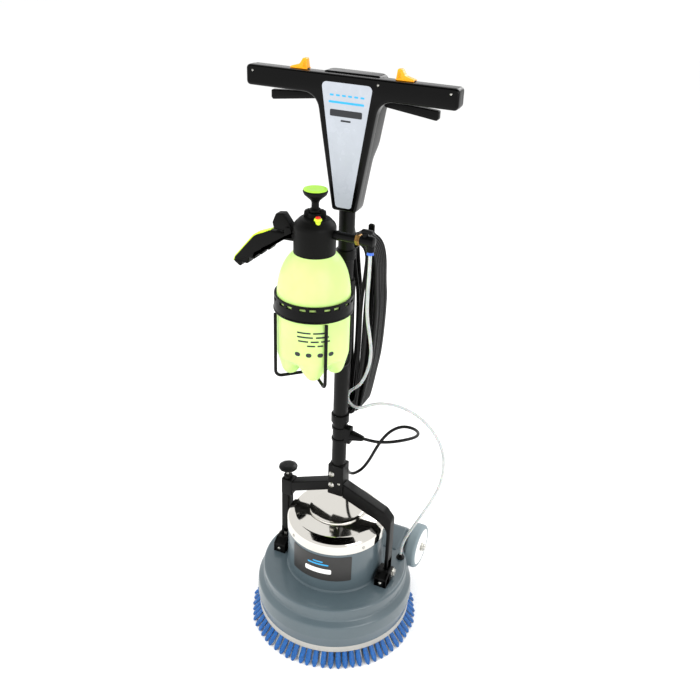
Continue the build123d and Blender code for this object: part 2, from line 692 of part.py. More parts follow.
CORD_ROUTE = [
    (-10, 27, GLAND_END), (-10, 27, 957), (-11, 30, 938), (-12, 36, 919), (-12, 44, 902),
    (-10, 51, 888), (-8, 54, 874.5),
]

PLUG_ROUTE = [
    (-60, 96, 610), (-61, 94, 632), (-64, 90, 653), (-67, 86, 673), (-68, 84, 693), (-68, 84, 713),
]


def cord_gland():
    """The strain relief that points down from the step in the back of the head."""
    sleeve = rod("Z", 5.9, GLAND_END, 1044, GLAND_AT) + rod("Z", 8.3, 1000, 1008, GLAND_AT)
    return sleeve


def power_coil():
    """The cable's turns over both hooks, as one ring whose sides bow outwards."""
    top = HOOK_TOP_Z + HOOK_ROD_R + 0.5 - COIL_IN
    low = HOOK_LOW_Z - HOOK_ROD_R - 0.5 + COIL_IN
    middle = (top + low) / 2

    def ring(half, bulge, y0, y1):
        right = ThreePointArc((half, low), (bulge, middle), (half, top))
        crown = ThreePointArc((half, top), (0, top + half), (-half, top))
        left = ThreePointArc((-half, top), (-bulge, middle), (-half, low))
        foot = ThreePointArc((-half, low), (0, low - half), (half, low))
        return extrude(Plane.XZ.offset(-y0) * make_face(right + crown + left + foot), -(y1 - y0))

    inner = ring(COIL_IN, COIL_BULGE_IN, COIL_Y0 - 1, COIL_Y1 + 1)
    return ring(COIL_OUT, COIL_BULGE_OUT, COIL_Y0, COIL_Y1) - inner


def power_plug():
    """A round mains plug with two pins, clipped beside the coil."""
    x, y, z = PLUG_ROUTE[-1]
    shape = Pos(x, y, 0) * turned([
        (0, z), (6, z), (8, z + 8, 3), (15, z + 18, 4), (17, z + 24), (17, z + 42, 3), (0, z + 42),
    ])
    for dx in (-9.5, 9.5):
        shape += rod("Z", 2.4, z + 42, z + 61, (x + dx, y))
    return shape


# --- write the parts ------------------------------------------------------------------------
save("deck_shell", deck_shell())
save("bumper_ring", bumper_ring())
save("motor_drum", motor_drum())
save("motor_cover", motor_cover())
save("drum_badge", drum_badge())
save("cover_screws", cover_screws())
save("motor_mount", motor_mount())
save("stator", stator())
save("gearbox", gearbox())
save("terminal_box", terminal_box())
save("lead_gland", lead_gland())
save("wheel_axle", wheel_axle())
save("axle_nuts", axle_nuts())
save("bracket_left", bracket(LEG_L0, LEG_L1))
save("bracket_right", bracket(LEG_R0, LEG_R1))
save("index_plate", index_plate())
save("bracket_fasteners", bracket_fasteners())
save("solution_inlet", solution_inlet())
save("rotor_core", rotor_core())
save("motor_shaft", motor_shaft())
save("drive_plate", drive_plate())
save("brush_block", brush_block())
save("brush_tufts", brush_tufts())
for side, name in ((-1, "left"), (1, "right")):
    save(f"tyre_{name}", tyre(side))
    save(f"wheel_hub_{name}", wheel_hub(side))
    save(f"trigger_{name}", trigger(side))
    save(f"thumb_button_{name}", thumb_button(side))
save("yoke", yoke())
save("handle_fasteners", handle_fasteners())
save("lock_pin", lock_pin())
save("lock_knob", lock_knob())
save("pole", pole())
save("lead_connector", lead_connector())
save("head_front_shell", head_front_shell())
save("head_rear_shell", head_rear_shell())
save("head_plate", head_plate())
save("hook_top", cable_hook(HOOK_TOP_Z, 1))
save("hook_bottom", cable_hook(HOOK_LOW_Z, -1))
save("holder_clamp", holder_clamp())
save("bottle_holder", bottle_holder())
save("bottle_body", bottle_body())
save("sprayer_collar", sprayer_collar())
save("spray_handle", spray_handle())
save("thumb_trigger", thumb_trigger())
save("pump_handle", pump_handle())
save("relief_valve", relief_valve())
save("flow_valve", flow_valve())
save("brass_nut", brass_nut())
save("hose_collet", hose_collet())
save("cord_gland", cord_gland())
save("power_lead", bent_tube("power_lead", CORD_ROUTE, CORD_D))
save("power_coil", power_coil())
save("plug_lead", bent_tube("plug_lead", PLUG_ROUTE, CORD_D))
save("power_plug", power_plug())
save("motor_lead", bent_tube("motor_lead", LEAD_ROUTE, LEAD_D))
save("solution_hose", bent_tube("solution_hose", HOSE_ROUTE, HOSE_D))
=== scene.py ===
"""A rotary floor machine: brush, deck, motor, tilting pole, T handle, wound cable and sprayer."""

import math

import bmesh
import bpy
import numpy as np
from mathutils import Matrix, Vector


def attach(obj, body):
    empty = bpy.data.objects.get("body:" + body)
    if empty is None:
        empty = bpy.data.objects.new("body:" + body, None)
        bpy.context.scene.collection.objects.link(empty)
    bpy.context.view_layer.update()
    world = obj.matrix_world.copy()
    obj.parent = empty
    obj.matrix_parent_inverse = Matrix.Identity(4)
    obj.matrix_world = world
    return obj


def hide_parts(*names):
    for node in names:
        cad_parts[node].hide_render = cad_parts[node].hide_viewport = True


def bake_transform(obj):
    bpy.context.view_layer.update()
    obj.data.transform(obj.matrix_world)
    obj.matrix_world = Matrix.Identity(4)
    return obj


bl_info = {
    "name": "Rotary floor machine",
    "version": (1, 0, 0),
    "blender": (4, 5, 0),
    "location": "3D View > Sidebar > Floor machine",
    "description": "Builds a rotary floor machine on its engineering frame",
    "category": "Add Mesh",
}

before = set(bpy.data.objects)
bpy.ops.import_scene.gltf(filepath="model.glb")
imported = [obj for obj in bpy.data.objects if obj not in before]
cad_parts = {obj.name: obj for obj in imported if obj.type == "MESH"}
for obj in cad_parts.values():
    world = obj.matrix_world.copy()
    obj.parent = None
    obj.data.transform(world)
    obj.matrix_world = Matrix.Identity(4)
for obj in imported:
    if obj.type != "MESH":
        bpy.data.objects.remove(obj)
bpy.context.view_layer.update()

MM = 0.001
BOTTLE = (-14.0, -98.0)
PIVOT_Z = 153.0
AXLE = (158.0, 105.0)
LOCK_X = -117.0
VIEW_ANGLES = (23.62, 27.97, 2.27)  # the camera's azimuth, elevation and roll, in degrees
INNER_TUFTS = ((48, 117, 136), (42, 101, 115), (34, 85, 95), (26, 68, 75))  # count, foot and tip radius


# --- sizes and colours that a user would change ---------------------------------------------
def colour_setting(name, text, value):
    """A colour setting, with its default as an sRGB hex value."""
    return bpy.props.FloatVectorProperty(
        name=name, description=text, subtype="COLOR", size=3, min=0.0, max=1.0, default=linear(value)[:3]
    )


def linear(value):
    """An sRGB hex colour such as "#5F6D70", turned to linear RGBA."""
    srgb = np.array([int(value[i:i + 2], 16) for i in (1, 3, 5)]) / 255.0
    rgb = np.where(srgb <= 0.04045, srgb / 12.92, ((srgb + 0.055) / 1.055) ** 2.4)
    return (*(float(c) for c in rgb), 1.0)


class FloorMachineSettings(bpy.types.PropertyGroup):
    """The sizes and colours of the floor machine."""

    tufts: bpy.props.IntProperty(
        name="Tufts", description="Number of tufts in the brush's outer row", default=70, min=24, max=90
    )
    tuft_width: bpy.props.FloatProperty(
        name="Tuft width", description="Width of a tuft at its foot", default=0.0104,
        min=0.004, max=0.014, subtype="DISTANCE", unit="LENGTH"
    )
    cable_turns: bpy.props.IntProperty(
        name="Cable turns", description="Turns of the power cable over the hooks", default=16, min=15, max=17
    )
    cable_width: bpy.props.FloatProperty(
        name="Cable width", description="Diameter of the power cable", default=0.007,
        min=0.005, max=0.009, subtype="DISTANCE", unit="LENGTH"
    )
    hose_width: bpy.props.FloatProperty(
        name="Hose width", description="Diameter of the liquid hose", default=0.006,
        min=0.004, max=0.008, subtype="DISTANCE", unit="LENGTH"
    )
    deck_colour: colour_setting("Deck", "Paint of the deck and drum", "#4B595F")
    tuft_colour: colour_setting("Tufts", "Colour of the outer tufts", "#05579E")
    bottle_colour: colour_setting("Bottle", "Colour of the sprayer's bottle", "#C6EA88")
    button_colour: colour_setting("Buttons", "Colour of the thumb buttons", "#FFA816")
    plate_colour: colour_setting("Plate", "Colour of the plate on the head", "#ABB0B8")


def settings():
    """The scene's settings for this machine."""
    return bpy.context.scene.floor_machine


# --- materials ------------------------------------------------------------------------------
def add(tree, kind, values=None, links=None, **fields):
    """Adds one shader node, sets its fields and input values, and links its inputs."""
    made = tree.nodes.new(kind)
    for field, value in fields.items():
        setattr(made, field, value)
    for socket, value in (values or {}).items():
        made.inputs[socket].default_value = value
    for socket, source in (links or {}).items():
        tree.links.new(source, made.inputs[socket])
    return made


def finish_of(name, build):
    """The material called name, made once by build(tree), which returns its shader."""
    found = bpy.data.materials.get(name)
    if found:
        return found
    made = bpy.data.materials.new(name)
    made.use_nodes = True
    made.node_tree.nodes.clear()
    shader = build(made.node_tree)
    add(made.node_tree, "ShaderNodeOutputMaterial", links={"Surface": shader.outputs["BSDF"]})
    return made


def grain(tree, scale, detail=3.0, stretch=(1.0, 1.0, 1.0)):
    """Noise on the piece's own coordinates, scale in cells to the metre, stretched by stretch."""
    place = add(tree, "ShaderNodeTexCoord").outputs["Object"]
    mapped = add(tree, "ShaderNodeMapping", {"Scale": stretch}, {"Vector": place})
    return add(
        tree, "ShaderNodeTexNoise", {"Scale": scale, "Detail": detail, "Roughness": 0.55},
        {"Vector": mapped.outputs["Vector"]}
    ).outputs["Fac"]


def relief(tree, source, depth, strength=0.3):
    """A bump from source, depth in metres."""
    return add(
        tree, "ShaderNodeBump", {"Strength": strength, "Distance": depth}, {"Height": source}
    ).outputs["Normal"]


def two_tones(tree, source, first, second, low=0.35, high=0.65):
    """A colour that runs from first to second as source goes from low to high."""
    ramp = add(tree, "ShaderNodeValToRGB", links={"Fac": source})
    ramp.color_ramp.elements[0].position = low
    ramp.color_ramp.elements[0].color = first
    ramp.color_ramp.elements[1].position = high
    ramp.color_ramp.elements[1].color = second
    return ramp.outputs["Color"]


def range_of(tree, source, low, high):
    """A number that runs from low to high with source."""
    return add(
        tree, "ShaderNodeMapRange", {"To Min": low, "To Max": high}, {"Value": source}
    ).outputs["Result"]


def shade(colour, factor):
    """A linear colour made lighter or darker by factor."""
    return (*(min(1.0, c * factor) for c in colour[:3]), 1.0)


def grey_enamel(name="grey_enamel", colour=None):
    """Stoved enamel on pressed steel: satin gloss, a faint orange-peel skin, slight cloudiness."""
    def build(tree):
        base = (*(colour or settings().deck_colour), 1.0)
        cloud = grain(tree, 9.0)
        peel = grain(tree, 420.0, 2.0)
        return add(tree, "ShaderNodeBsdfPrincipled", {"Coat Weight": 0.35, "Coat Roughness": 0.12}, {
            "Base Color": two_tones(tree, cloud, shade(base, 0.93), shade(base, 1.05)),
            "Roughness": range_of(tree, cloud, 0.30, 0.40),
            "Normal": relief(tree, peel, 0.0004, 0.10),
        })
    return finish_of(name, build)


def powder_coat():
    """Black powder coat on steel: satin, with the fine pebbled skin of baked powder."""
    def build(tree):
        pebble = grain(tree, 900.0, 2.0)
        wear = grain(tree, 30.0)
        return add(tree, "ShaderNodeBsdfPrincipled", {"Specular IOR Level": 0.14}, {
            "Base Color": two_tones(tree, wear, linear("#050505"), linear("#090908")),
            "Roughness": range_of(tree, wear, 0.34, 0.46),
            "Normal": relief(tree, pebble, 0.0003, 0.18),
        })
    return finish_of("black_powder_coat", build)


def moulded(name, colour, low=0.28, high=0.4, skin=700.0, depth=0.0002, gloss=0.4):
    """Injection-moulded plastic: even colour, and the fine spark-eroded skin of its mould."""
    def build(tree):
        base = linear(colour) if isinstance(colour, str) else (*colour, 1.0)
        mottle = grain(tree, 25.0)
        pits = grain(tree, skin, 2.0)
        return add(tree, "ShaderNodeBsdfPrincipled", {"IOR": 1.5, "Specular IOR Level": gloss}, {
            "Base Color": two_tones(tree, mottle, shade(base, 0.96), shade(base, 1.04)),
            "Roughness": range_of(tree, mottle, low, high),
            "Normal": relief(tree, pits, depth, 0.22),
        })
    return finish_of(name, build)


def black_nylon():
    """Black moulded nylon: deep and satin."""
    return moulded("black_nylon", "#050505", gloss=0.13)


def polished_stainless():
    """Mirror-polished stainless steel: near-white reflections, faint ripple from the pressing."""
    def build(tree):
        ripple = grain(tree, 16.0, 1.0)
        haze = grain(tree, 120.0)
        return add(tree, "ShaderNodeBsdfPrincipled", {"Metallic": 1.0, "Base Color": linear("#DCD9D2")}, {
            "Roughness": range_of(tree, haze, 0.05, 0.11),
            "Normal": relief(tree, ripple, 0.0012, 0.12),
        })
    return finish_of("polished_stainless", build)


def bright_zinc():
    """Zinc-plated steel: pale grey metal with soft patches."""
    def build(tree):
        patch = grain(tree, 180.0)
        return add(tree, "ShaderNodeBsdfPrincipled", {"Metallic": 1.0}, {
            "Base Color": two_tones(tree, patch, linear("#AEADA8"), linear("#D9D7D0")),
            "Roughness": range_of(tree, patch, 0.2, 0.34),
        })
    return finish_of("bright_zinc", build)


def cast_metal(name, colour, metallic=1.0):
    """Sand-cast or laminated metal: dull, with a coarse grain."""
    def build(tree):
        lumps = grain(tree, 260.0)
        base = linear(colour)
        return add(tree, "ShaderNodeBsdfPrincipled", {"Metallic": metallic}, {
            "Base Color": two_tones(tree, lumps, shade(base, 0.8), shade(base, 1.1)),
            "Roughness": range_of(tree, lumps, 0.45, 0.6),
            "Normal": relief(tree, lumps, 0.0006, 0.3),
        })
    return finish_of(name, build)


def turned_brass():
    """Turned brass: warm yellow metal with fine lathe lines."""
    def build(tree):
        lines = grain(tree, 900.0, 1.0, (6.0, 0.4, 0.4))
        return add(tree, "ShaderNodeBsdfPrincipled", {"Metallic": 1.0}, {
            "Base Color": two_tones(tree, lines, linear("#8A6632"), linear("#A98450")),
            "Roughness": range_of(tree, lines, 0.22, 0.36),
        })
    return finish_of("turned_brass", build)


def blown_polythene():
    """Blown polythene, pigmented neon yellow-green: waxy, letting some light through, with a faint painted
    glow.
    """
    def build(tree):
        base = (*settings().bottle_colour, 1.0)
        cloud = grain(tree, 14.0)
        skin = grain(tree, 260.0, 2.0)
        return add(tree, "ShaderNodeBsdfPrincipled", {
            "Subsurface Weight": 0.35, "Subsurface Radius": (0.012, 0.014, 0.005), "Subsurface Scale": 0.6,
            # The emission, 0.05 of the bottle's own colour, is a painted glow: it makes the bottle brighter
            # than the lamps light it.
            "IOR": 1.5, "Emission Color": base, "Emission Strength": 0.05,
        }, {
            "Base Color": two_tones(tree, cloud, shade(base, 0.94), shade(base, 1.05)),
            "Roughness": range_of(tree, cloud, 0.34, 0.44),
            "Normal": relief(tree, skin, 0.0003, 0.15),
        })
    return finish_of("neon_polythene", build)


def nylon_tuft(name, colour):
    """Bundled nylon bristle: fine lines down each tuft, lighter and darker filaments.

    The noise has 420 cells to the metre, 2.4 mm each, coarser than real filaments, so that they show.
    """
    def build(tree):
        base = (*colour, 1.0)
        strand = grain(tree, 420.0, 2.0, (1.0, 1.0, 0.10))
        return add(
            tree, "ShaderNodeBsdfPrincipled", {"Subsurface Weight": 0.08, "Subsurface Scale": 0.002},
            {
                "Base Color": two_tones(tree, strand, shade(base, 0.62), shade(base, 1.25), 0.3, 0.7),
                "Roughness": range_of(tree, strand, 0.34, 0.5),
                "Normal": relief(tree, strand, 0.0016, 0.6)
            }
        )
    return finish_of(name, build)


def cable_sheath():
    """Black PVC cable sheath: satin, with slow bands of sheen along it."""
    def build(tree):
        band = grain(tree, 60.0)
        return add(tree, "ShaderNodeBsdfPrincipled", {"Specular IOR Level": 0.25}, {
            "Base Color": two_tones(tree, band, linear("#030303"), linear("#080808")),
            "Roughness": range_of(tree, band, 0.30, 0.45),
            "Normal": relief(tree, grain(tree, 500.0, 2.0), 0.0002, 0.2),
        })
    return finish_of("black_pvc_sheath", build)


def milky_tube():
    """Extruded polythene tube: milky white, half clear, glossy."""
    def build(tree):
        haze = grain(tree, 70.0)
        return add(tree, "ShaderNodeBsdfPrincipled", {
            "Transmission Weight": 0.35, "IOR": 1.48, "Subsurface Weight": 0.2, "Subsurface Scale": 0.003,
        }, {
            "Base Color": two_tones(tree, haze, linear("#C9CECD"), linear("#DDE0DF")),
            "Roughness": range_of(tree, haze, 0.18, 0.3),
        })
    return finish_of("milky_polythene_tube", build)


# --- shapes ---------------------------------------------------------------------------------
def rounded(corners, steps=6):
    """An outline from corners (a, b) or (a, b, radius): each radius becomes an arc of steps parts.

    The arc touches both sides at radius x tan(half the turn) from the corner.
    """
    points = []
    count = len(corners)
    for i, corner in enumerate(corners):
        here = np.array(corner[:2], float)
        if len(corner) == 2:
            points.append(here)
            continue
        back = np.array(corners[i - 1][:2], float) - here
        ahead = np.array(corners[(i + 1) % count][:2], float) - here
        back /= np.linalg.norm(back)
        ahead /= np.linalg.norm(ahead)
        half = math.acos(max(-1.0, min(1.0, float(back @ ahead)))) / 2
        reach = corner[2] / math.tan(half)
        middle = (back + ahead) / np.linalg.norm(back + ahead)
        centre = here + middle * corner[2] / math.sin(half)
        first = here + back * reach - centre
        last = here + ahead * reach - centre
        sweep = math.atan2(first[0] * last[1] - first[1] * last[0], first @ last)
        turn = np.linspace(0.0, sweep, steps + 1)[:, None]
        side = np.array([-first[1], first[0]])
        points.extend(centre + np.cos(turn) * first + np.sin(turn) * side)
    return np.array(points)


def quads(rows, columns, loop_rows, loop_columns, start=0):
    """Faces of a grid of rows x columns points, closed along either way."""
    i = np.arange(rows if loop_rows else rows - 1)
    j = np.arange(columns if loop_columns else columns - 1)
    i, j = np.meshgrid(i, j, indexing="ij")
    i2, j2 = (i + 1) % rows, (j + 1) % columns
    faces = np.stack([i * columns + j, i * columns + j2, i2 * columns + j2, i2 * columns + j], -1)
    return (faces.reshape(-1, 4) + start).tolist()


def solid(name, parts, angle=35.0, weld=1e-6):
    """One mesh object from (points in mm, faces) parts, with doubles merged and faces outwards."""
    points, faces, count = [], [], 0
    for part_points, part_faces in parts:
        part_points = np.asarray(part_points, float).reshape(-1, 3)
        faces.extend([[k + count for k in face] for face in part_faces])
        points.append(part_points)
        count += len(part_points)
    mesh = bpy.data.meshes.new(name)
    mesh.from_pydata((np.concatenate(points) * MM).tolist(), [], faces)
    work = bmesh.new()
    work.from_mesh(mesh)
    bmesh.ops.remove_doubles(work, verts=work.verts, dist=weld)
    bmesh.ops.dissolve_degenerate(work, edges=work.edges, dist=weld)
    bmesh.ops.recalc_face_normals(work, faces=work.faces)
    work.to_mesh(mesh)
    work.free()
    mesh.shade_smooth()
    mesh.set_sharp_from_angle(angle=math.radians(angle))
    piece = bpy.data.objects.new(name, mesh)
    bpy.context.scene.collection.objects.link(piece)
    return piece


def turned(profile, axis="Z", at=(0.0, 0.0), steps=96, ripple=None):
    """A profile of (radius, height) points carried round an axis, as (points, faces).

    At angle a the point is (radius cos a, radius sin a, height); ripple(a, radius, height)
    returns a changed radius and height. A profile off the axis at both ends is a closed ring.
    """
    profile = np.asarray(profile, float)[:, :2]
    closed = profile[0, 0] > 1e-6 or profile[-1, 0] > 1e-6
    a = np.linspace(0.0, 2 * np.pi, steps, endpoint=False)[None, :]
    radius = np.repeat(profile[:, :1], steps, 1)
    height = np.repeat(profile[:, 1:], steps, 1)
    if ripple:
        radius, height = ripple(a, radius, height)
    u, v = radius * np.cos(a), radius * np.sin(a)
    order = {"Z": (u + at[0], v + at[1], height), "X": (height, u + at[0], v + at[1]),
             "Y": (u + at[0], height, v + at[1])}[axis]
    return np.stack(order, -1), quads(len(profile), steps, closed, True)


def inset(outline, distance):
    """An outline moved inwards by distance along the mean normal of each corner's two sides."""
    ahead = np.roll(outline, -1, 0) - outline
    ahead /= np.maximum(np.linalg.norm(ahead, axis=1, keepdims=True), 1e-9)
    behind = np.roll(ahead, 1, 0)
    area = 0.5 * np.sum(
        outline[:, 0] * np.roll(outline[:, 1], -1) - np.roll(outline[:, 0], -1) * outline[:, 1]
    )
    normal = (ahead + behind)[:, ::-1] * np.array([-1.0, 1.0]) * np.sign(area)
    size = np.maximum(np.linalg.norm(normal, axis=1, keepdims=True), 1e-9)
    return outline + normal / size * distance / np.maximum(size / 2, 0.5)


def rectangle(left, right, low, high, radius):
    """A rectangle's four corners, all of one radius, in the form that rounded() takes."""
    return [(left, low, radius), (right, low, radius), (right, high, radius), (left, high, radius)]


def slab(outline, axis, low, high, edge=1.0, steps=4, far_edge=None):
    """An outline with rounded rims, from low to high along axis, as (points, faces).

    Ring k of a rim lies edge (1 - sin t) inside the outline and edge (1 - cos t) from the face,
    with t from 0 to 90 degrees. The outline is (x, z) for Y, (y, z) for X and (x, y) for Z.
    """
    outline = np.asarray(outline, float)
    t = np.linspace(0.0, np.pi / 2, steps + 1)
    rims = []
    for size, face, way in ((edge, low, 1.0), (edge if far_edge is None else far_edge, high, -1.0)):
        rims.append([(size * (1 - np.sin(k)), face + way * size * (1 - np.cos(k))) for k in t])
    levels = rims[0] + rims[1][::-1]
    rings = []
    for depth, height in levels:
        ring = inset(outline, depth)
        h = np.full(len(ring), height)
        rings.append(np.stack({"Y": (ring[:, 0], h, ring[:, 1]), "X": (h, ring[:, 0], ring[:, 1]),
                               "Z": (ring[:, 0], ring[:, 1], h)}[axis], -1))
    count = len(outline)
    faces = quads(len(rings), count, False, True)
    last = (len(rings) - 1) * count
    faces += [list(range(count))[::-1], list(range(last, last + count))]
    return np.concatenate(rings), faces


def mirrored(part):
    """A part's mirror image across the YZ plane."""
    return np.asarray(part[0]) * np.array([-1.0, 1.0, 1.0]), part[1]


def moved(part, matrix=None, shift=(0, 0, 0)):
    """A part turned by a 3 x 3 matrix and shifted, in mm."""
    points = np.asarray(part[0], float).reshape(-1, 3)
    if matrix is not None:
        points = points @ np.array(matrix, float).T
    return points + np.array(shift, float), part[1]


def turn_z(degrees):
    """The matrix of a turn about Z."""
    return np.array(Matrix.Rotation(math.radians(degrees), 3, "Z"))


def piped(path, radius, sides=12):
    """A round tube along a line of points, as (points, faces); radius is one number or one each.

    Each ring is radius (n cos a + b sin a) about its point, with n carried along the line so
    that it doesn't spin.
    """
    path = np.asarray(path, float)
    tangent = np.gradient(path, axis=0)
    tangent /= np.linalg.norm(tangent, axis=1, keepdims=True)
    normals = [np.cross(tangent[0], (0.31, 0.87, 0.22))]
    for ahead in tangent[1:]:
        normals.append(normals[-1] - ahead * (normals[-1] @ ahead))
        normals[-1] /= np.linalg.norm(normals[-1])
    normals[0] /= np.linalg.norm(normals[0])
    n = np.array(normals)[:, None, :]
    b = np.cross(tangent, np.array(normals))[:, None, :]
    a = np.linspace(0.0, 2 * np.pi, sides, endpoint=False)[None, :, None]
    size = np.broadcast_to(np.asarray(radius, float), (len(path),))[:, None, None]
    rings = path[:, None, :] + size * (n * np.cos(a) + b * np.sin(a))
    faces = quads(len(path), sides, False, True)
    last = (len(path) - 1) * sides
    return rings, faces + [list(range(sides))[::-1], list(range(last, last + sides))]


def button_head(radius, height, axis, at, face, way=1.0, steps=24):
    """A domed screw head with a hex socket's shallow dish, standing on face along axis."""
    t = np.linspace(0.0, np.pi / 2, 7)
    dome = [(radius * np.cos(k), face + way * height * np.sin(k)) for k in t[:-2]]
    dish = [(radius * 0.42, face + way * height * 0.93), (radius * 0.38, face + way * height * 0.45),
            (0.0, face + way * height * 0.40)]
    return turned([(0.0, face)] + dome + dish, axis, at, steps)


def hex_nut(radius, axis, at, face, height):
    """A hexagon nut with chamfered corners, from face along axis."""
    h = height
    profile = [(0.0, face), (radius * 0.93, face), (radius, face + 0.12 * h), (radius, face + 0.88 * h),
               (radius * 0.93, face + h), (0.0, face + h)]
    return turned(profile, axis, at, 6)


def dress(piece, body, slot, material, *nodes):
    """Puts a piece on its body, gives it its finish, and lets it stand for CAD nodes."""
    piece.data.materials.clear()
    piece.data.materials.append(material)
    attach(piece, body)
    if nodes:
        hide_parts(*nodes)
    return piece


def repaint(material, *nodes):
    """Gives CAD nodes that keep their own shape a better finish."""
    for node in nodes:
        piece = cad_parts[node]
        for held in piece.material_slots:
            held.material = material
        if not piece.material_slots:
            piece.data.materials.append(material)


class Build:
    """What every operator of this add-on shares."""

    bl_options = {"REGISTER", "UNDO"}


# --- camera, lights and floor ---------------------------------------------------------------
class FLOORMACHINE_OT_stage(Build, bpy.types.Operator):
    """Adds the camera, the studio lights and the floor."""

    bl_idname = "floor_machine.stage"
    bl_label = "Stage"

    def execute(self, context):
        azimuth, elevation, roll = (math.radians(a) for a in VIEW_ANGLES)
        out = Vector((math.sin(azimuth) * math.cos(elevation), -math.cos(azimuth) * math.cos(elevation),
                      math.sin(elevation)))
        right = Vector((math.cos(azimuth), math.sin(azimuth), 0.0))
        up = out.cross(right)
        side = right * math.cos(roll) + up * math.sin(roll)
        top = up * math.cos(roll) - right * math.sin(roll)
        camera = bpy.data.objects.new("camera", bpy.data.cameras.new("camera"))
        camera.data.sensor_width = 36.0
        camera.data.lens = 43.632
        camera.data.shift_x = -1.0 / 700.0
        turn = Matrix((side, top, out)).transposed().to_4x4()
        camera.matrix_world = Matrix.Translation(Vector((0.0175, 0.0, 0.659)) + out * 1.607) @ turn
        context.scene.collection.objects.link(camera)
        context.scene.camera = camera
        context.scene.view_settings.view_transform = "Standard"

        world = bpy.data.worlds.new("studio")
        context.scene.world = world
        world.use_nodes = True
        world.node_tree.nodes.clear()
        glow = add(world.node_tree, "ShaderNodeBackground", {"Color": linear("#FFFFFF"), "Strength": 1.05})
        add(world.node_tree, "ShaderNodeOutputWorld", links={"Surface": glow.outputs["Background"]})
        for name, place, aim, size, power in (
            ("key_light", (-1.6, -2.2, 2.6), (0.0, 0.0, 0.5), 1.4, 62.0),
            ("fill_light", (2.4, -1.2, 1.6), (0.0, 0.0, 0.6), 1.6, 26.0),
            ("back_light", (0.6, 2.4, 2.4), (0.0, 0.0, 0.7), 1.6, 30.0),
        ):
            lamp = bpy.data.lights.new(name, "AREA")
            lamp.size = size
            lamp.energy = power
            lit = bpy.data.objects.new(name, lamp)
            lit.location = place
            lit.visible_glossy = name != "key_light"
            lit.rotation_euler = (Vector(aim) - Vector(place)).to_track_quat("-Z", "Y").to_euler()
            context.scene.collection.objects.link(lit)
        self.dark_card(context)
        reach = 9000.0
        floor = solid("floor", [(
            [(-reach, -reach, -0.3), (reach, -reach, -0.3), (reach, reach, -0.3), (-reach, reach, -0.3)],
            [[0, 1, 2, 3]],
        )])
        floor.data.materials.append(pale_paper())
        return {"FINISHED"}

    def dark_card(self, context):
        """Hangs a dark card above and before the machine, seen only in reflections.

        Its point at azimuth a and elevation e is 6 m away, as on a sphere.
        """
        a, e = np.meshgrid(
            np.radians(np.linspace(-175.0, -15.0, 40)), np.radians(np.linspace(44.0, 84.0, 16))
        )
        points = 6000.0 * np.stack([np.cos(e) * np.cos(a), np.cos(e) * np.sin(a), np.sin(e)], -1)
        card = solid("reflector_card", [(points, quads(16, 40, False, False))])
        card.data.materials.append(black_card())
        card.visible_camera = False
        card.visible_diffuse = False
        card.visible_shadow = False


def black_card():
    """Matt black card: a dark band for polished metal to reflect."""
    def build(tree):
        nap = grain(tree, 40.0)
        return add(tree, "ShaderNodeBsdfPrincipled", {"Specular IOR Level": 0.0}, {
            "Base Color": two_tones(tree, nap, linear("#020202"), linear("#060606")),
            "Roughness": range_of(tree, nap, 0.9, 1.0),
        })
    return finish_of("black_card", build)


def pale_paper():
    """Seamless white background paper: matt and even."""
    def build(tree):
        fibre = grain(tree, 300.0)
        return add(tree, "ShaderNodeBsdfPrincipled", {"Specular IOR Level": 0.2}, {
            "Base Color": two_tones(tree, fibre, linear("#F6F6F5"), linear("#FFFFFF")),
            "Roughness": range_of(tree, fibre, 0.85, 0.95),
        })
    return finish_of("white_paper", build)


# --- cords ----------------------------------------------------------------------------------
def spline_of(name, route):
    """A smooth NURBS curve with the route's points, in mm, as its control points."""
    curve = bpy.data.curves.new(name, "CURVE")
    curve.dimensions = "3D"
    line = curve.splines.new("NURBS")
    line.points.add(len(route) - 1)
    flat = np.column_stack([np.asarray(route, float) * MM, np.ones(len(route))])
    line.points.foreach_set("co", flat.ravel())
    line.order_u = 3
    line.use_endpoint_u = True
    line.resolution_u = 6
    piece = bpy.data.objects.new(name, curve)
    bpy.context.scene.collection.objects.link(piece)
    return piece


def line_of(piece):
    """The points, in mm, that a curve's own line runs through."""
    bpy.context.view_layer.update()
    mesh = bpy.data.meshes.new_from_object(piece)
    points = np.empty(len(mesh.vertices) * 3)
    mesh.vertices.foreach_get("co", points)
    bpy.data.meshes.remove(mesh)
    return points.reshape(-1, 3) / MM


CABLE_START = [
    (-10, 27, 975), (-10, 27, 957), (-11, 30, 938), (-12, 36, 919), (-12, 44, 902), (-10, 49, 886),
]
CABLE_END = [
    (-60, 96, 610), (-61, 94, 632), (-64, 90, 653), (-67, 86, 673), (-68, 84, 693), (-68, 84, 713),
]
HOSE_ROUTE = [
    (88, -98, 900), (88, -98, 868), (84, -92, 822), (80, -80, 776), (80, -62, 730),
    (76, -42, 690), (66, -22, 652), (52, -4, 616), (37, 10, 586), (22, 20, 567), (9, 24, 555),
    (2.5, 24, 541), (7, 24, 526.5), (20.5, 24, 519), (35.5, 24.5, 521.5), (50, 30, 530),
    (73, 41, 535), (106, 56, 528), (140, 70, 508), (170, 82, 474), (190, 90, 432),
    (196, 94, 388), (192, 95, 340), (176, 94, 292), (158, 92, 250), (144, 88, 217),
    (133, 81, 192), (127.5, 73, 175), (126, 68, 161), (126, 68, 147),
]
LEAD_ROUTE = [
    (52, 0, 468), (74, 0, 468), (97, -1, 474), (120, 1, 482), (141, 14, 486),
    (151, 37.5, 482), (145.5, 61.5, 476), (127, 78, 471), (103, 81.5, 466), (84, 73, 456),
    (70, 60, 439), (60, 49, 416), (51, 40, 391), (38, 36, 367), (20, 38, 348), (4, 50, 336),
    (-8, 70, 324), (-20, 92, 310), (-28, 109, 293), (-30, 117, 273), (-30, 117, 254),
]


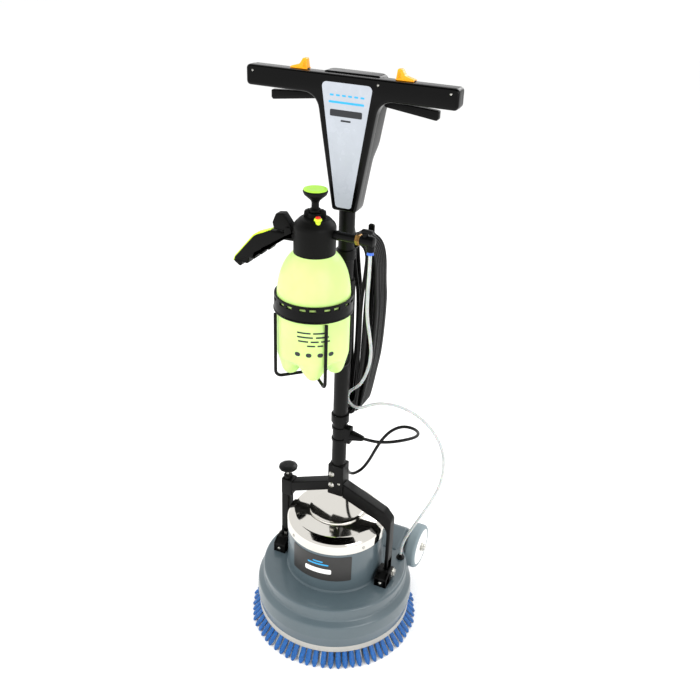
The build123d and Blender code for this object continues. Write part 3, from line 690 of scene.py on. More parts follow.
CABLE_TAIL = [
    (-39, 42.4, 822), (-45, 42.4, 760), (-46, 42.6, 690), (-47, 46, 630), (-49, 56, 592), (-53, 70, 574),
    (-59, 84, 574), (-61, 94, 590),
]


def coil_turn(y, next_y, end, foot, right, left):
    """One turn over both hooks, widest between them, with y drifting to the next turn's."""
    top, low = 862.5, 493.5
    down = [
        (0.0, top), (0.8 * end, top - 0.25 * end), (1.1 * end, top - 1.15 * end),
        (end + 0.55 * (right - end), top - 92), (right, 735), (0.9 * right, 625),
        (foot + 0.45 * (right - foot), low + 84), (1.1 * foot, low + 1.3 * foot + 6),
        (0.8 * foot, low + 0.25 * foot),
    ]
    up = [
        (0.0, low), (-0.8 * foot, low + 0.25 * foot), (-1.1 * foot, low + 1.3 * foot + 6),
        (-foot - 0.45 * (left - foot), low + 84), (-0.9 * left, 625), (-left, 735),
        (-end - 0.55 * (left - end), top - 92), (-1.1 * end, top - 1.15 * end),
        (-0.8 * end, top - 0.25 * end),
    ]
    ring = np.array(down + up)
    drift = np.clip((np.arange(len(ring)) - 12) / 6.0, 0.0, 1.0)
    return np.column_stack([ring[:, 0], y + (next_y - y) * drift, ring[:, 1]])


def cable_route(turns):
    """The whole power cable: its lead, its turns in two layers over the hooks, and its tail to the plug.

    Known fault: the tail doubles straight back on the end of the last turn, at the upper left, so
    its bend there has no radius. Ending the last turn after its first 12 points, just past the
    lower hook, and leading it from there to the plug would cure it.
    """
    seed = np.random.default_rng(7)
    first = (turns + 1) // 2 + 1
    route = [np.array(CABLE_START, float)]
    places = [39.0 + 7.6 * k for k in range(first)]
    places += [places[-1] - 3.8 - 7.6 * k for k in range(turns - first)]
    places.append(places[-1] - 8.0)
    for k in range(turns):
        if k >= first:
            shape = (35.0, 21.5, *seed.uniform(43.5, 46.5, 2))
        else:
            shape = (
                *seed.uniform((19.0, 11.0), (27.0, 13.5)), seed.uniform(14.0, 35.0),
                seed.uniform(5.0, 22.0)
            )
        route.append(coil_turn(places[k], places[k + 1], *shape))
    return np.concatenate([*route, np.array(CABLE_TAIL, float), np.array(CABLE_END, float)])


class FLOORMACHINE_OT_cords(Build, bpy.types.Operator):
    """Adds the wound power cable, the motor's lead and the liquid hose."""

    bl_idname = "floor_machine.cords"
    bl_label = "Cords"

    def execute(self, context):
        sizes = settings()
        route = cable_route(sizes.cable_turns)
        cable = spline_of("power_cable", route)
        cable.data.bevel_depth = sizes.cable_width / 2
        cable.data.bevel_resolution = 3
        cable.data.use_fill_caps = True
        dress(cable, "handle", "cord_pvc", cable_sheath(), "power_lead", "power_coil", "plug_lead")
        length = float(np.linalg.norm(np.diff(line_of_plain(route), axis=0), axis=1).sum() * MM)
        plug()
        for name, points, width, exit_point, slot_name, material, node, start, end in (
            ("motor_cord", LEAD_ROUTE, 0.0065, (0.052, 0.0, 0.468), "cord_pvc", cable_sheath(),
             "motor_lead", (0, 0, 0.44), (0, 0, 0.27)),
            ("liquid_hose", HOSE_ROUTE, sizes.hose_width, (0.088, -0.098, 0.900), "hose_pe", milky_tube(),
             "solution_hose", (0, 0, 0.50), (0, 0, 0.17)),
        ):
            line = line_of_plain(points)
            piece = solid(name, [piped(line, width / MM / 2, 12)])
            piece.data.materials.append(material)
            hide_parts(node)
            length = float(np.linalg.norm(np.diff(line, axis=0), axis=1).sum() * MM)
            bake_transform(piece)
            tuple(start)
            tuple(end)
            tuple(exit_point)
        return {"FINISHED"}


def line_of_plain(route):
    """The points of a route's smooth line, read from its NURBS spline with no thickness."""
    guide = spline_of("guide", route)
    line = line_of(guide)
    curve = guide.data
    bpy.data.objects.remove(guide)
    bpy.data.curves.remove(curve)
    return line


def plug():
    """A round moulded mains plug with two pins, on the cable's end."""
    at = (-68.0, 84.0)
    z = 713.0
    body = turned(
        rounded([
            (0, z), (5.5, z), (7.5, z + 9, 3), (15, z + 17, 5), (17, z + 24, 2), (17, z + 42, 2.5),
            (0, z + 42)
        ]),
        "Z", at, 40
    )
    ribs = [turned(rounded([(5.2, z + 1 + 3 * k), (7.0, z + 1 + 3 * k, 0.5), (7.0, z + 2.4 + 3 * k, 0.5),
                            (5.2, z + 2.4 + 3 * k)]), "Z", at, 24) for k in range(3)]
    piece = dress(solid("mains_plug", [body] + ribs), "handle", "black_plastic", black_nylon(),
                  "power_plug")
    pins = solid("plug_pins", [
        turned(rounded([(0, z + 42), (2.4, z + 42), (2.4, z + 60, 1.4), (0, z + 60.9)]), "Z",
               (at[0] + side * 9.5, at[1]), 16) for side in (-1, 1)
    ])
    dress(pins, "handle", "zinc", bright_zinc())
    pins.parent = piece
    return piece


# --- base -----------------------------------------------------------------------------------
class FLOORMACHINE_OT_deck(Build, bpy.types.Operator):
    """Adds the deck, its bumper, the axle box and the motor drum."""

    bl_idname = "floor_machine.deck"
    bl_label = "Deck and drum"

    def execute(self, context):
        enamel = grey_enamel()
        outside = rounded([
            (95, 133), (95, 137, 0.8), (156, 137, 5), (155.0, 109, 6), (167.5, 99, 8), (169, 72, 20),
            (165, 46), (160, 46), (160, 72), (158.5, 93), (151.5, 106), (152, 133),
        ])

        def wheel_room(a, radius, height):
            """Draws the swollen side back to 164 mm beside the wheels, at 40 and 140 degrees round."""
            wheel = np.exp(-((np.degrees(a) - 42) / 14) ** 2) + np.exp(-((np.degrees(a) - 138) / 14) ** 2)
            return np.where(
                radius > 164, radius - (radius - 164) * np.minimum(1, 1.3 * wheel), radius
            ), height

        pan = solid("deck_pan", [turned(outside, steps=160, ripple=wheel_room)])
        dress(pan, "base", "deck_paint", enamel, "deck_shell")
        side = rounded(
            [
                (96, 128), (76, 137, 4), (150, 153, 12), (169, 138, 9), (172, 72, 9), (158, 60, 7),
                (100, 60), (96, 80)
            ],
            8
        )
        box = solid("axle_box", [slab(side, "X", -112, 112, 7, 6)])
        dress(box, "base", "deck_paint", enamel, "deck_shell")
        drum = solid(
            "drum",
            [
                turned(
                    rounded([
                        (99, 137), (104, 137), (104, 139, 0.8), (103, 141.5, 1.5), (103, 256),
                        (99, 256)
                    ]),
                    steps=160
                ),
                turned(
                    rounded([(103.0, 137.0), (105.6, 137.0), (105.4, 138.0, 0.8), (103.0, 139.8)]),
                    steps=160
                )
            ]
        )
        dress(drum, "base", "drum_paint", enamel, "motor_drum")
        bumper = solid("bumper", [turned(rounded([
            (159, 30), (165, 30, 3), (165.5, 43, 2), (164.4, 46, 0.5), (159, 46),
        ]), steps=160)])
        dress(bumper, "base", "bumper_vinyl", moulded("grey_vinyl", "#ABA9A3", 0.4, 0.55), "bumper_ring")
        return {"FINISHED"}


class FLOORMACHINE_OT_cover(Build, bpy.types.Operator):
    """Adds the polished cover, its raised centre and its screws."""

    bl_idname = "floor_machine.cover"
    bl_label = "Polished cover"

    def execute(self, context):
        shell = rounded([
            (0, 278.4), (60, 278.2, 20), (90.0, 273.4, 8), (104.6, 260, 12), (104.6, 238.6, 0.4),
            (104.0, 238), (103.2, 238), (103.2, 256), (88, 271.4), (0, 276.6),
        ], 8)
        lid = rounded([(0, 282.6), (52, 282.6, 8), (57.6, 281.8, 1.2), (58.6, 277.6), (0, 277.6)], 6)
        cover = solid("steel_cover", [turned(shell, steps=200)], 30)
        dress(cover, "base", "stainless", polished_stainless(), "motor_cover")
        centre = solid("steel_lid", [turned(lid, steps=160)], 30)
        dress(centre, "base", "stainless", polished_stainless())
        heads = []
        for turn in (-33, 57, 147, 237):
            head = button_head(3.6, 1.8, "X", (0.0, 247.0), 104.4)
            heads.append(moved(head, turn_z(turn)))
        dress(solid("cover_screw_heads", heads), "base", "zinc", bright_zinc(), "cover_screws")
        return {"FINISHED"}


def wrapped_sheet(low, high, bottom, top, radius, lift, corner=3.0, columns=40):
    """A rectangular patch with rounded corners bent round the drum, arc lengths low to high.

    Column i is at arc s, and its ends draw in by corner - sqrt(corner^2 - d^2) near the corners.
    """
    s = np.concatenate([low + corner * (1 - np.cos(np.linspace(0, np.pi / 2, 7))),
                        np.linspace(low + corner, high - corner, columns)[1:-1],
                        high - corner * (1 - np.cos(np.linspace(np.pi / 2, 0, 7)))])
    d = np.maximum(0.0, corner - np.minimum(s - low, high - s))
    draw = corner - np.sqrt(np.maximum(corner ** 2 - d ** 2, 0.0))
    angle = s / radius
    levels = np.linspace(0.0, 1.0, 2)
    z = (bottom + draw)[None, :] + levels[:, None] * (top - bottom - 2 * draw)[None, :]
    faces = []
    layers = []
    for r in (radius, radius + lift):
        layers.append(np.stack([np.broadcast_to(r * np.cos(angle), z.shape),
                                np.broadcast_to(r * np.sin(angle), z.shape), z], -1))
    count = len(s)
    points = np.concatenate([layers[0].reshape(-1, 3), layers[1].reshape(-1, 3)])
    faces += quads(2, count, False, False) + quads(2, count, False, False, 2 * count)
    edge = list(range(count)) + list(range(2 * count - 1, count - 1, -1))
    faces += [[
        edge[k], edge[(k + 1) % len(edge)], edge[(k + 1) % len(edge)] + 2 * count,
        edge[k] + 2 * count
    ] for k in range(len(edge))]
    return points, faces


class FLOORMACHINE_OT_badge(Build, bpy.types.Operator):
    """Adds the plain dark badge on the drum, with simple marks."""

    bl_idname = "floor_machine.badge"
    bl_label = "Drum badge"

    def execute(self, context):
        front = math.radians(-90.0 + 5.5)
        back = solid(
            "badge",
            [moved(wrapped_sheet(-68, 68, 168, 231, 103.1, 0.6, 2.5), turn_z(math.degrees(front)))]
        )
        dress(back, "base", "badge", moulded("badge_film", "#2A2928", 0.3, 0.4), "drum_badge")
        light, blue = [], []
        for low, high, bottom, top in ((-32, 26, 186, 198),):
            light.append(
                moved(
                    wrapped_sheet(low, high, bottom, top, 103.7, 0.2, 3.0), turn_z(math.degrees(front))
                )
            )
        for low, high, bottom, top in ((-26, 20, 207, 210.5), (-14, 8, 214, 217)):
            blue.append(
                moved(
                    wrapped_sheet(low, high, bottom, top, 103.7, 0.2, 1.4), turn_z(math.degrees(front))
                )
            )
        dress(solid("badge_bar", light), "base", "badge", moulded("white_ink", "#F2F2F0", 0.35, 0.45))
        dress(solid("badge_lines", blue), "base", "badge", moulded("blue_ink", "#2FA3DC", 0.35, 0.45))
        return {"FINISHED"}


def tuft_row(count, foot, tip, width, seed, top=52.0, low=0.6):
    """A ring of tufts: each is an eight-sided column that leans out, swells and ends in a wedge.

    Level k of a tuft is at height top (1 - k) + low k, on the line from its foot to its tip.
    """
    random = np.random.default_rng(seed)
    sides = 8
    level = np.array([0.0, 0.45, 0.74, 0.88, 0.96, 1.0])
    swell = np.array([0.74, 0.92, 1.12, 1.08, 0.66, 0.22])
    turn = np.linspace(0, 2 * np.pi, count, endpoint=False) + random.uniform(-0.008, 0.008, count)
    reach = tip + random.uniform(-1.8, 1.8, count)
    a = np.linspace(0, 2 * np.pi, sides, endpoint=False)
    parts = []
    for t, r in zip(turn, reach):
        radial = foot + (r - foot) * level ** 1.15
        height = top + (low - top) * level
        across = width / 2 * swell
        u = radial[:, None] + across[:, None] * np.cos(a)[None, :] * 0.8
        v = across[:, None] * np.sin(a)[None, :]
        z = np.repeat(height[:, None], sides, 1)
        z[-2] += np.cos(2 * a + random.uniform(-0.6, 0.6)) * 1.4
        x = u * math.cos(t) - v * math.sin(t)
        y = u * math.sin(t) + v * math.cos(t)
        faces = quads(len(level), sides, False, True)
        last = (len(level) - 1) * sides
        faces += [list(range(sides))[::-1], list(range(last, last + sides))]
        parts.append((np.stack([x, y, z], -1), faces))
    return parts


class FLOORMACHINE_OT_brush(Build, bpy.types.Operator):
    """Adds the brush: its block, and rows of tufts that splay outwards."""

    bl_idname = "floor_machine.brush"
    bl_label = "Brush"

    def execute(self, context):
        sizes = settings()
        width = sizes.tuft_width / MM
        outer = tuft_row(sizes.tufts, 145, 182, width, 1)
        second = tuft_row(sizes.tufts - 6, 138, 171, width * 0.9, 2, low=1.0)
        piece = solid("outer_tufts", outer, 50)
        dress(piece, "brush", "bristle", nylon_tuft("blue_nylon", sizes.tuft_colour), "brush_tufts")
        inner = second
        for row, (count, foot, tip) in enumerate(INNER_TUFTS):
            inner += tuft_row(count, foot, tip, width * 0.95, 10 + row, low=1.5)
        piece = solid("inner_tufts", inner, 50)
        dress(piece, "brush", "bristle", nylon_tuft("grey_nylon", linear("#C3CACD")[:3]))
        block = solid("brush_back", [turned(rounded([
            (0, 40), (146, 40, 3), (148, 56, 4), (0, 56),
        ]), steps=120)])
        dress(block, "brush", "brush_wood", moulded("blue_block", "#2A5CA8", 0.4, 0.55), "brush_block")
        return {"FINISHED"}


class FLOORMACHINE_OT_wheels(Build, bpy.types.Operator):
    """Adds the two rear wheels and their nuts."""

    bl_idname = "floor_machine.wheels"
    bl_label = "Wheels"

    def execute(self, context):
        tread = rounded([(41.8, 118), (50, 118, 7), (50, 144, 7), (41.8, 144)], 10)
        disc = rounded([
            (6.1, 118.2), (12, 118.2, 1), (12.5, 122, 1), (40, 122, 1), (42, 120.5, 0.5), (42, 143.2, 1.5),
            (38.5, 144.0, 1.2), (36.5, 142.6, 2), (14, 144.6, 4), (11.5, 143.2, 1), (6.1, 143.2),
        ], 6)
        rubber = moulded("grey_tyre_rubber", "#7F8D92", 0.5, 0.65, 300.0, 0.0005)
        nylon = moulded("white_nylon_hub", "#F2F2EF", 0.25, 0.35)
        for side, name in ((1, "right"), (-1, "left")):
            for label, profile, material, slot_name, steps in (
                ("tyre", tread, rubber, "tyre_rubber", 96), ("wheel_hub", disc, nylon, "hub_nylon", 96),
            ):
                part = turned(profile, "X", AXLE, steps)
                part = part if side > 0 else mirrored(part)
                piece = solid(f"{label}_{name}_round", [part])
                dress(piece, f"wheel_{name}", slot_name, material, f"{label}_{name}")
        nuts = [hex_nut(8.8, "X", AXLE, 144.6, 5.6), turned(rounded([
            (0, 149.5), (6.8, 149.5), (6.4, 153.0, 2.6), (0, 154.4)]), "X", AXLE, 24),
            turned(rounded([(0, 144.3), (9.6, 144.3, 0.3), (9.6, 145.0, 0.3), (0, 145.0)]), "X", AXLE, 32)]
        nuts += [mirrored(part) for part in nuts]
        dress(solid("wheel_nuts", nuts), "base", "zinc", bright_zinc(), "axle_nuts")
        repaint(bright_zinc(), "wheel_axle")
        return {"FINISHED"}


class FLOORMACHINE_OT_brackets(Build, bpy.types.Operator):
    """Adds the two cast feet that hold the yoke, and their bolts."""

    bl_idname = "floor_machine.brackets"
    bl_label = "Pivot feet"

    def execute(self, context):
        cheek = rounded([(-36, 137), (-36, 157, 6), (-22, 168, 8), (6, 168, 10), (12, 150, 4), (12, 137)], 6)
        front = rounded([(-36, 137), (-36, 157, 6), (-22, 168, 8), (-13.5, 167.5, 1), (-13.5, 137)], 6)
        base = rounded([(-36, 137), (-36, 139.8, 1), (12, 139.8, 1), (12, 137)], 3)
        spans = {"right": (118 - 0.4, 126 + 0.4), "left": (110 - 0.4, 127 + 0.4)}
        for name, (inner, outer) in spans.items():
            parts = [slab(cheek, "X", 106.4, inner, 1.2), slab(cheek, "X", outer, 134, 1.8),
                     slab(front, "X", 106.4, 134, 2.4), slab(base, "X", 106.4, 134, 0.8)]
            parts = parts if name == "right" else [mirrored(part) for part in parts]
            piece = solid(f"foot_{name}", parts)
            dress(piece, "base", "black_paint", powder_coat(), f"bracket_{name}")
        bolts = [
            hex_nut(8.8, "X", (0.0, PIVOT_Z), 134, 5.4),
            turned(
                rounded([(0, 134), (10.6, 134, 0.3), (10.6, 135.2, 0.3), (0, 135.2)]), "X",
                (0.0, PIVOT_Z), 32
            ),
            turned([(0, 106.5), (4.9, 106.5), (4.9, 134), (0, 134)], "X", (0.0, PIVOT_Z), 24),
            button_head(3.6, 2.2, "Y", (120.0, 147.0), -36.0, -1.0)
        ]
        bolts += [mirrored(part) for part in bolts]
        dress(solid("foot_bolts", bolts), "base", "zinc", bright_zinc(), "bracket_fasteners")
        repaint(bright_zinc(), "index_plate")
        return {"FINISHED"}


class FLOORMACHINE_OT_inside(Build, bpy.types.Operator):
    """Finishes the pieces under the deck and behind the drum."""

    bl_idname = "floor_machine.inside"
    bl_label = "Motor and fittings"

    def execute(self, context):
        repaint(cast_metal("core_laminations", "#6F6B66"), "stator", "rotor_core")
        repaint(cast_metal("cast_aluminium", "#A6A6A4"), "gearbox")
        repaint(bright_zinc(), "motor_mount", "motor_shaft", "drive_plate")
        plan = rounded([(-50, 92), (-50, 128, 5), (-10, 128, 5), (-10, 92)], 5)
        box = [slab(plan, "Z", 190, 237, 2.0)]
        dress(solid("wiring_box", box), "base", "deck_paint", grey_enamel(), "terminal_box")
        lid = rounded(rectangle(-46.5, -13.5, 193.5, 233.5, 3), 5)
        dress(
            solid("wiring_box_lid", [slab(lid, "Y", 127.6, 129.4, 0.8)]), "base", "deck_paint",
            grey_enamel()
        )
        screws = [button_head(2.0, 1.2, "Y", (x, z), 129.2) for x in (-43, -17) for z in (197, 230)]
        dress(solid("wiring_box_screws", screws), "base", "zinc", bright_zinc())
        nylon = black_nylon()
        gland = [hex_nut(9.0, "Z", (-30.0, 117.0), 237, 7),
                 turned(rounded([(3.4, 244), (7.4, 244, 0.8), (7.4, 249, 1.5), (5.2, 254, 1), (3.4, 254)]),
                        "Z", (-30.0, 117.0), 32)]
        dress(solid("wiring_gland", gland), "base", "black_plastic", nylon, "lead_gland")
        inlet = [
            turned(
                rounded([
                    (0, 137), (9, 137, 0.6), (9, 140, 1), (5.2, 141, 0.6), (5.2, 146, 0.8),
                    (4.2, 147.2), (0, 147.2)
                ]),
                "Z", (126.0, 68.0), 32
            )
        ]
        dress(solid("hose_inlet", inlet), "base", "black_plastic", nylon, "solution_inlet")
        return {"FINISHED"}


# --- yoke and pole --------------------------------------------------------------------------
class FLOORMACHINE_OT_yoke(Build, bpy.types.Operator):
    """Adds the yoke with the lock's boss, the pole socket with its bolts, and the pole."""

    bl_idname = "floor_machine.yoke"
    bl_label = "Yoke and pole"

    def execute(self, context):
        arm_left = rounded(
            [(-15, 350), (-15, 327), (-104, 291.5, 5), (-112, 284), (-112, 316), (-102, 316)], 5
        )
        leg_left = rounded([(-127, 184), (-110, 184), (-110, 318), (-127, 318)])
        head_left = rounded([(-127, 280, 3), (-102, 280, 3), (-102, 318, 2), (-127, 318, 2)], 4)
        parts = [slab(arm_left, "Y", -12, 12, 2.2), slab(leg_left, "Y", -12, 12, 2.4),
                 slab(head_left, "Y", -12.4, 12.4, 1.6)]
        tongue = rounded([(12, 141, 11.9), (12, 190), (-12, 190), (-12, 141, 11.9)], 10)
        half = 7.2 / 2 + 0.4
        parts += [slab(tongue, "X", -127, LOCK_X - half, 0.8), slab(tongue, "X", LOCK_X + half, -110, 0.8)]
        parts += [
            turned(rounded([(4.1, 317), (9.5, 317), (9.5, 325, 1), (4.1, 325)]), "Z", (LOCK_X, 0.0), 32)
        ]
        right = rounded(
            [
                (15, 351.0), (110, 311.5, 18), (126, 292, 12), (126, 160), (118, 160), (118, 268, 24),
                (98, 284, 20), (15, 317)
            ],
            8
        )
        parts += [slab(right, "Y", -12, 12, 2.6, 5), slab(tongue, "X", 118, 126, 1.2)]
        piece = solid("yoke_frame", parts)
        dress(piece, "handle", "black_paint", powder_coat(), "yoke")
        plan = rounded(rectangle(-17, 17, -16, 16, 3), 5)
        hole = rounded([(14.6, 388), (16.6, 388), (17.2, 394.6, 1), (14.6, 394.6)])
        socket = [slab(plan, "Z", 322, 393.4, 1.2), turned(hole, "Z", (0.0, 0.0), 48)]
        dress(solid("pole_clamp", socket), "handle", "black_paint", powder_coat())
        bolts = [button_head(6.5, 4.0, "Y", (-8.0, 372.0), -16.0, -1.0),
                 button_head(6.5, 4.0, "Y", (-8.0, 345.0), -16.0, -1.0),
                 button_head(3.0, 2.4, "Y", (9.0, 352.0), -16.0, -1.0)]
        bolts += [
            button_head(1.9, 0.9, "Y", at, -18.0, -1.0) for at in (
                (-176.0, 1153.0), (176.0, 1153.0), (54.0, 1153.0)
            )
        ]
        dress(solid("handle_bolts", bolts), "handle", "zinc", bright_zinc(), "handle_fasteners")
        tube = turned([(12.5, 330), (14.5, 330), (14.5, 1098), (12.5, 1098)], steps=64)
        dress(solid("pole_tube", [tube]), "handle", "black_paint", powder_coat(), "pole")
        return {"FINISHED"}


class FLOORMACHINE_OT_lock(Build, bpy.types.Operator):
    """Adds the lock's mushroom knob and finishes its pin."""

    bl_idname = "floor_machine.lock"
    bl_label = "Lock knob"

    def execute(self, context):
        def flutes(a, radius, height):
            """Shallow waves round the knob's rim: radius less 0.5 mm x sin^2 of ten waves."""
            rim = np.clip((radius - 14.0) / 3.0, 0.0, 1.0)
            return radius - 0.5 * rim * np.sin(5 * a) ** 2, height

        knob = rounded(
            [
                (0, 335), (7.5, 335, 1), (7.0, 339, 2), (16, 340.2, 2), (20, 343, 1.5),
                (20, 347.5, 2.5), (12, 351, 6), (0, 351.5)
            ],
            6
        )
        piece = solid("lock_mushroom", [turned(knob, "Z", (LOCK_X, 0.0), 96, flutes)])
        dress(
            piece, "lock", "black_plastic",
            moulded("phenolic_black", "#0B0C0C", 0.22, 0.34, gloss=0.15), "lock_knob"
        )
        repaint(bright_zinc(), "lock_pin")
        return {"FINISHED"}


class FLOORMACHINE_OT_connector(Build, bpy.types.Operator):
    """Adds the strapped connector on the pole where the motor's lead plugs in."""

    bl_idname = "floor_machine.connector"
    bl_label = "Lead connector"

    def execute(self, context):
        strap = [turned(rounded([(14.6, z), (16.4, z, 0.5), (16.4, z + 5, 0.5), (14.6, z + 5)]), steps=48)
                 for z in (452, 479)]
        plan = rounded([(8, -9, 2), (26, -9, 3), (26, 9, 3), (8, 9, 2)], 5)
        strap.append(slab(plan, "Z", 450.5, 485.5, 2.0))
        body = turned(rounded([
            (0, 24), (10.5, 24, 1), (10.0, 30, 1), (8.2, 38, 3), (7.2, 44, 2), (5.2, 51.6, 0.8), (0, 51.8),
        ]), "X", (0.0, 468.0), 40)
        strap.append(body)
        piece = solid("lead_joint", strap)
        dress(piece, "handle", "black_plastic", black_nylon(), "lead_connector")
        return {"FINISHED"}


# --- head -----------------------------------------------------------------------------------
def tee(top=1162.0, bottom=1128.0, half=189.0, corner=7.0, foot=934.0):
    """The head's outline: the bar, and the body that tapers below it."""
    return rounded([
        (-half, top, corner), (-half, bottom, corner), (-56, bottom, 28), (-22.5, foot, 6), (22.5, foot, 6),
        (56, bottom, 28), (half, bottom, corner), (half, top, corner),
    ], 8)


class FLOORMACHINE_OT_head(Build, bpy.types.Operator):
    """Adds the head: its two mouldings, the deep casing behind, and the plate in front."""

    bl_idname = "floor_machine.head"
    bl_label = "Head"

    def execute(self, context):
        shell = moulded("glossy_abs_black", "#040404", 0.14, 0.24, 500.0, 0.0002, 0.14)
        front = solid("head_front", [slab(tee(), "Y", -18, -0.15, 4.5, 6, 0.3)])
        dress(front, "handle", "black_plastic", shell, "head_front_shell")
        bar = rounded([(-188.4, 1161.4, 7), (-188.4, 1128.6, 7), (188.4, 1128.6, 7), (188.4, 1161.4, 7)], 8)
        back = solid("head_bar_back", [slab(bar, "Y", 0.15, 14, 0.3, 6, 5.0)])
        dress(back, "handle", "black_plastic", shell, "head_rear_shell")
        casing = solid("head_casing", [self.casing()], 40)
        dress(casing, "handle", "black_plastic", shell, "head_rear_shell")
        plate = rounded([(-46, 1150, 8), (-14.5, 941, 6), (14.5, 941, 6), (46, 1150, 8)], 8)
        face = solid("head_label", [slab(plate, "Y", -19.2, -17.8, 0.5, 3)])
        dress(
            face, "handle", "plate", moulded("silver_film", settings().plate_colour, 0.22, 0.32),
            "head_plate"
        )
        blue = [
            slab(
                rounded(rectangle(-30 + k * 11, -23 + k * 11, 1128.5, 1131.5, 1.2), 4), "Y", -19.4, -19.0,
                0.05, 1
            ) for k in range(6)
        ]
        blue.append(slab(rounded(rectangle(-32, 32, 1117, 1120.6, 1.6), 4),
                         "Y", -19.4, -19.0, 0.05, 1))
        dress(solid("label_lines", blue), "handle", "plate", moulded("blue_ink", "#2FA3DC", 0.35, 0.45))
        bars = [slab(rounded(rectangle(-29, 29, 1096, 1107, 2), 4), "Y", -19.4, -19.0, 0.05, 1),
                slab(rounded(rectangle(-9, 9, 1088, 1091, 1), 4), "Y", -19.4, -19.0, 0.05, 1)]
        dress(solid("label_bars", bars), "handle", "plate", moulded("dark_ink", "#24262A", 0.35, 0.45))
        lugs = [
            slab(
                rounded([(57, 1117, 3), (67, 1117, 3), (67, 1140, 1), (57, 1140, 1)], 4), "Y", 13.8, 17,
                0.8
            ),
            turned([(0, 0.2), (2, 0.2), (2, 17.6), (0, 17.6)], "Y", (62.0, 1122.0), 20)
        ]
        lugs += [mirrored(part) for part in lugs]
        dress(solid("lever_lugs", lugs), "handle", "black_plastic", shell)
        gland = [
            turned(
                rounded([
                    (3.7, 978 + 4 * k), (5.6 + 0.1 * k, 978 + 4 * k, 0.6),
                    (5.6 + 0.1 * k, 980.6 + 4 * k, 0.6), (3.7, 980.6 + 4 * k)
                ]),
                "Z", (-10.0, 27.0), 32
            ) for k in range(5)
        ]
        gland.append(
            turned(
                rounded([
                    (0, 974.5), (4.4, 974.5, 0.5), (5.0, 1000), (8.3, 1000, 1), (8.3, 1008, 1),
                    (5.9, 1008), (5.9, 1030), (0, 1030)
                ]),
                "Z", (-10.0, 27.0), 32
            )
        )
        dress(solid("cable_gland", gland), "handle", "black_plastic", black_nylon(), "cord_gland")
        return {"FINISHED"}

    def casing(self):
        """Cross-sections of the casing, stacked in height.

        At height z it is a rounded rectangle, half-width w(z) and depth d(z), both interpolated
        along z: the width grows evenly, and the depth steps out above the gland.
        """
        z = np.array([
            934.0, 934.6, 936.5, 941, 960, 985, 1010, 1020, 1024, 1028, 1036, 1046, 1054, 1080,
            1110, 1135, 1150, 1157, 1161.5, 1163.6, 1164.0
        ])
        width = np.interp(z, [934, 1118, 1164], [22.4, 54.4, 55])
        depth = np.interp(z, [934, 1020, 1028, 1046, 1054, 1150, 1164], [18, 18, 20, 34, 36, 36, 36])
        draw = np.interp(z, [934, 934.6, 936.5, 941, 1150, 1157, 1161.5, 1163.6, 1164],
                         [5, 3, 1.2, 0, 0, 1.4, 4.0, 7.0, 9.0])
        corner = rounded([(1.0, 0.0), (1.0, 1.0, 0.24), (-1.0, 1.0, 0.24), (-1.0, 0.0)], 8)
        x = corner[None, :, 0] * (width - draw)[:, None]
        y = corner[None, :, 1] * (depth - draw)[:, None]
        points = np.stack([x, y, np.broadcast_to(z[:, None], x.shape)], -1)
        rows, columns = x.shape
        faces = quads(rows, columns, False, True)
        last = (rows - 1) * columns
        return points, faces + [list(range(columns))[::-1], list(range(last, last + columns))]


class FLOORMACHINE_OT_controls(Build, bpy.types.Operator):
    """Adds the squeeze levers and the thumb buttons on the head's bar."""

    bl_idname = "floor_machine.controls"
    bl_label = "Levers and buttons"

    def execute(self, context):
        lever = rounded(
            [(58, 1127.2, 2), (58, 1116, 4), (149, 1104.5, 3), (152, 1108, 2), (152, 1120.8, 2.5)], 6
        )
        black = black_nylon()
        button = rounded(
            [
                (79, 1162.3), (79, 1166, 1), (81, 1179.5, 2.0), (87.5, 1179.5, 2.5), (94, 1169.5, 8),
                (110, 1165, 1.2), (110, 1162.3)
            ],
            6
        )
        foot = rounded([(79, 1162.3), (79, 1164.6, 0.8), (110, 1164.6, 0.8), (110, 1162.3)], 4)
        yellow = moulded("yellow_abs", settings().button_colour, 0.24, 0.34)
        for side, name in ((1, "right"), (-1, "left")):
            grip = slab(lever, "Y", 2, 13.7, 2.2)
            grip = grip if side > 0 else mirrored(grip)
            piece = solid(f"lever_{name}", [grip])
            dress(piece, f"trigger_{name}", "black_plastic", black, f"trigger_{name}")
            parts = [slab(button, "Y", -5.5, 5.5, 1.2), slab(foot, "Y", -8, 8, 0.8)]
            parts += [slab(rounded(rectangle(x, x + 0.9, 1166, 1177, 0.2), 2), "Y", -6.0, 6.0, 0.3)
                      for x in (82.0, 84.0, 86.0)]
            parts = parts if side > 0 else [mirrored(part) for part in parts]
            piece = solid(f"button_{name}_fin", parts)
            dress(piece, f"button_{name}", "yellow_plastic", yellow, f"thumb_button_{name}")
        return {"FINISHED"}


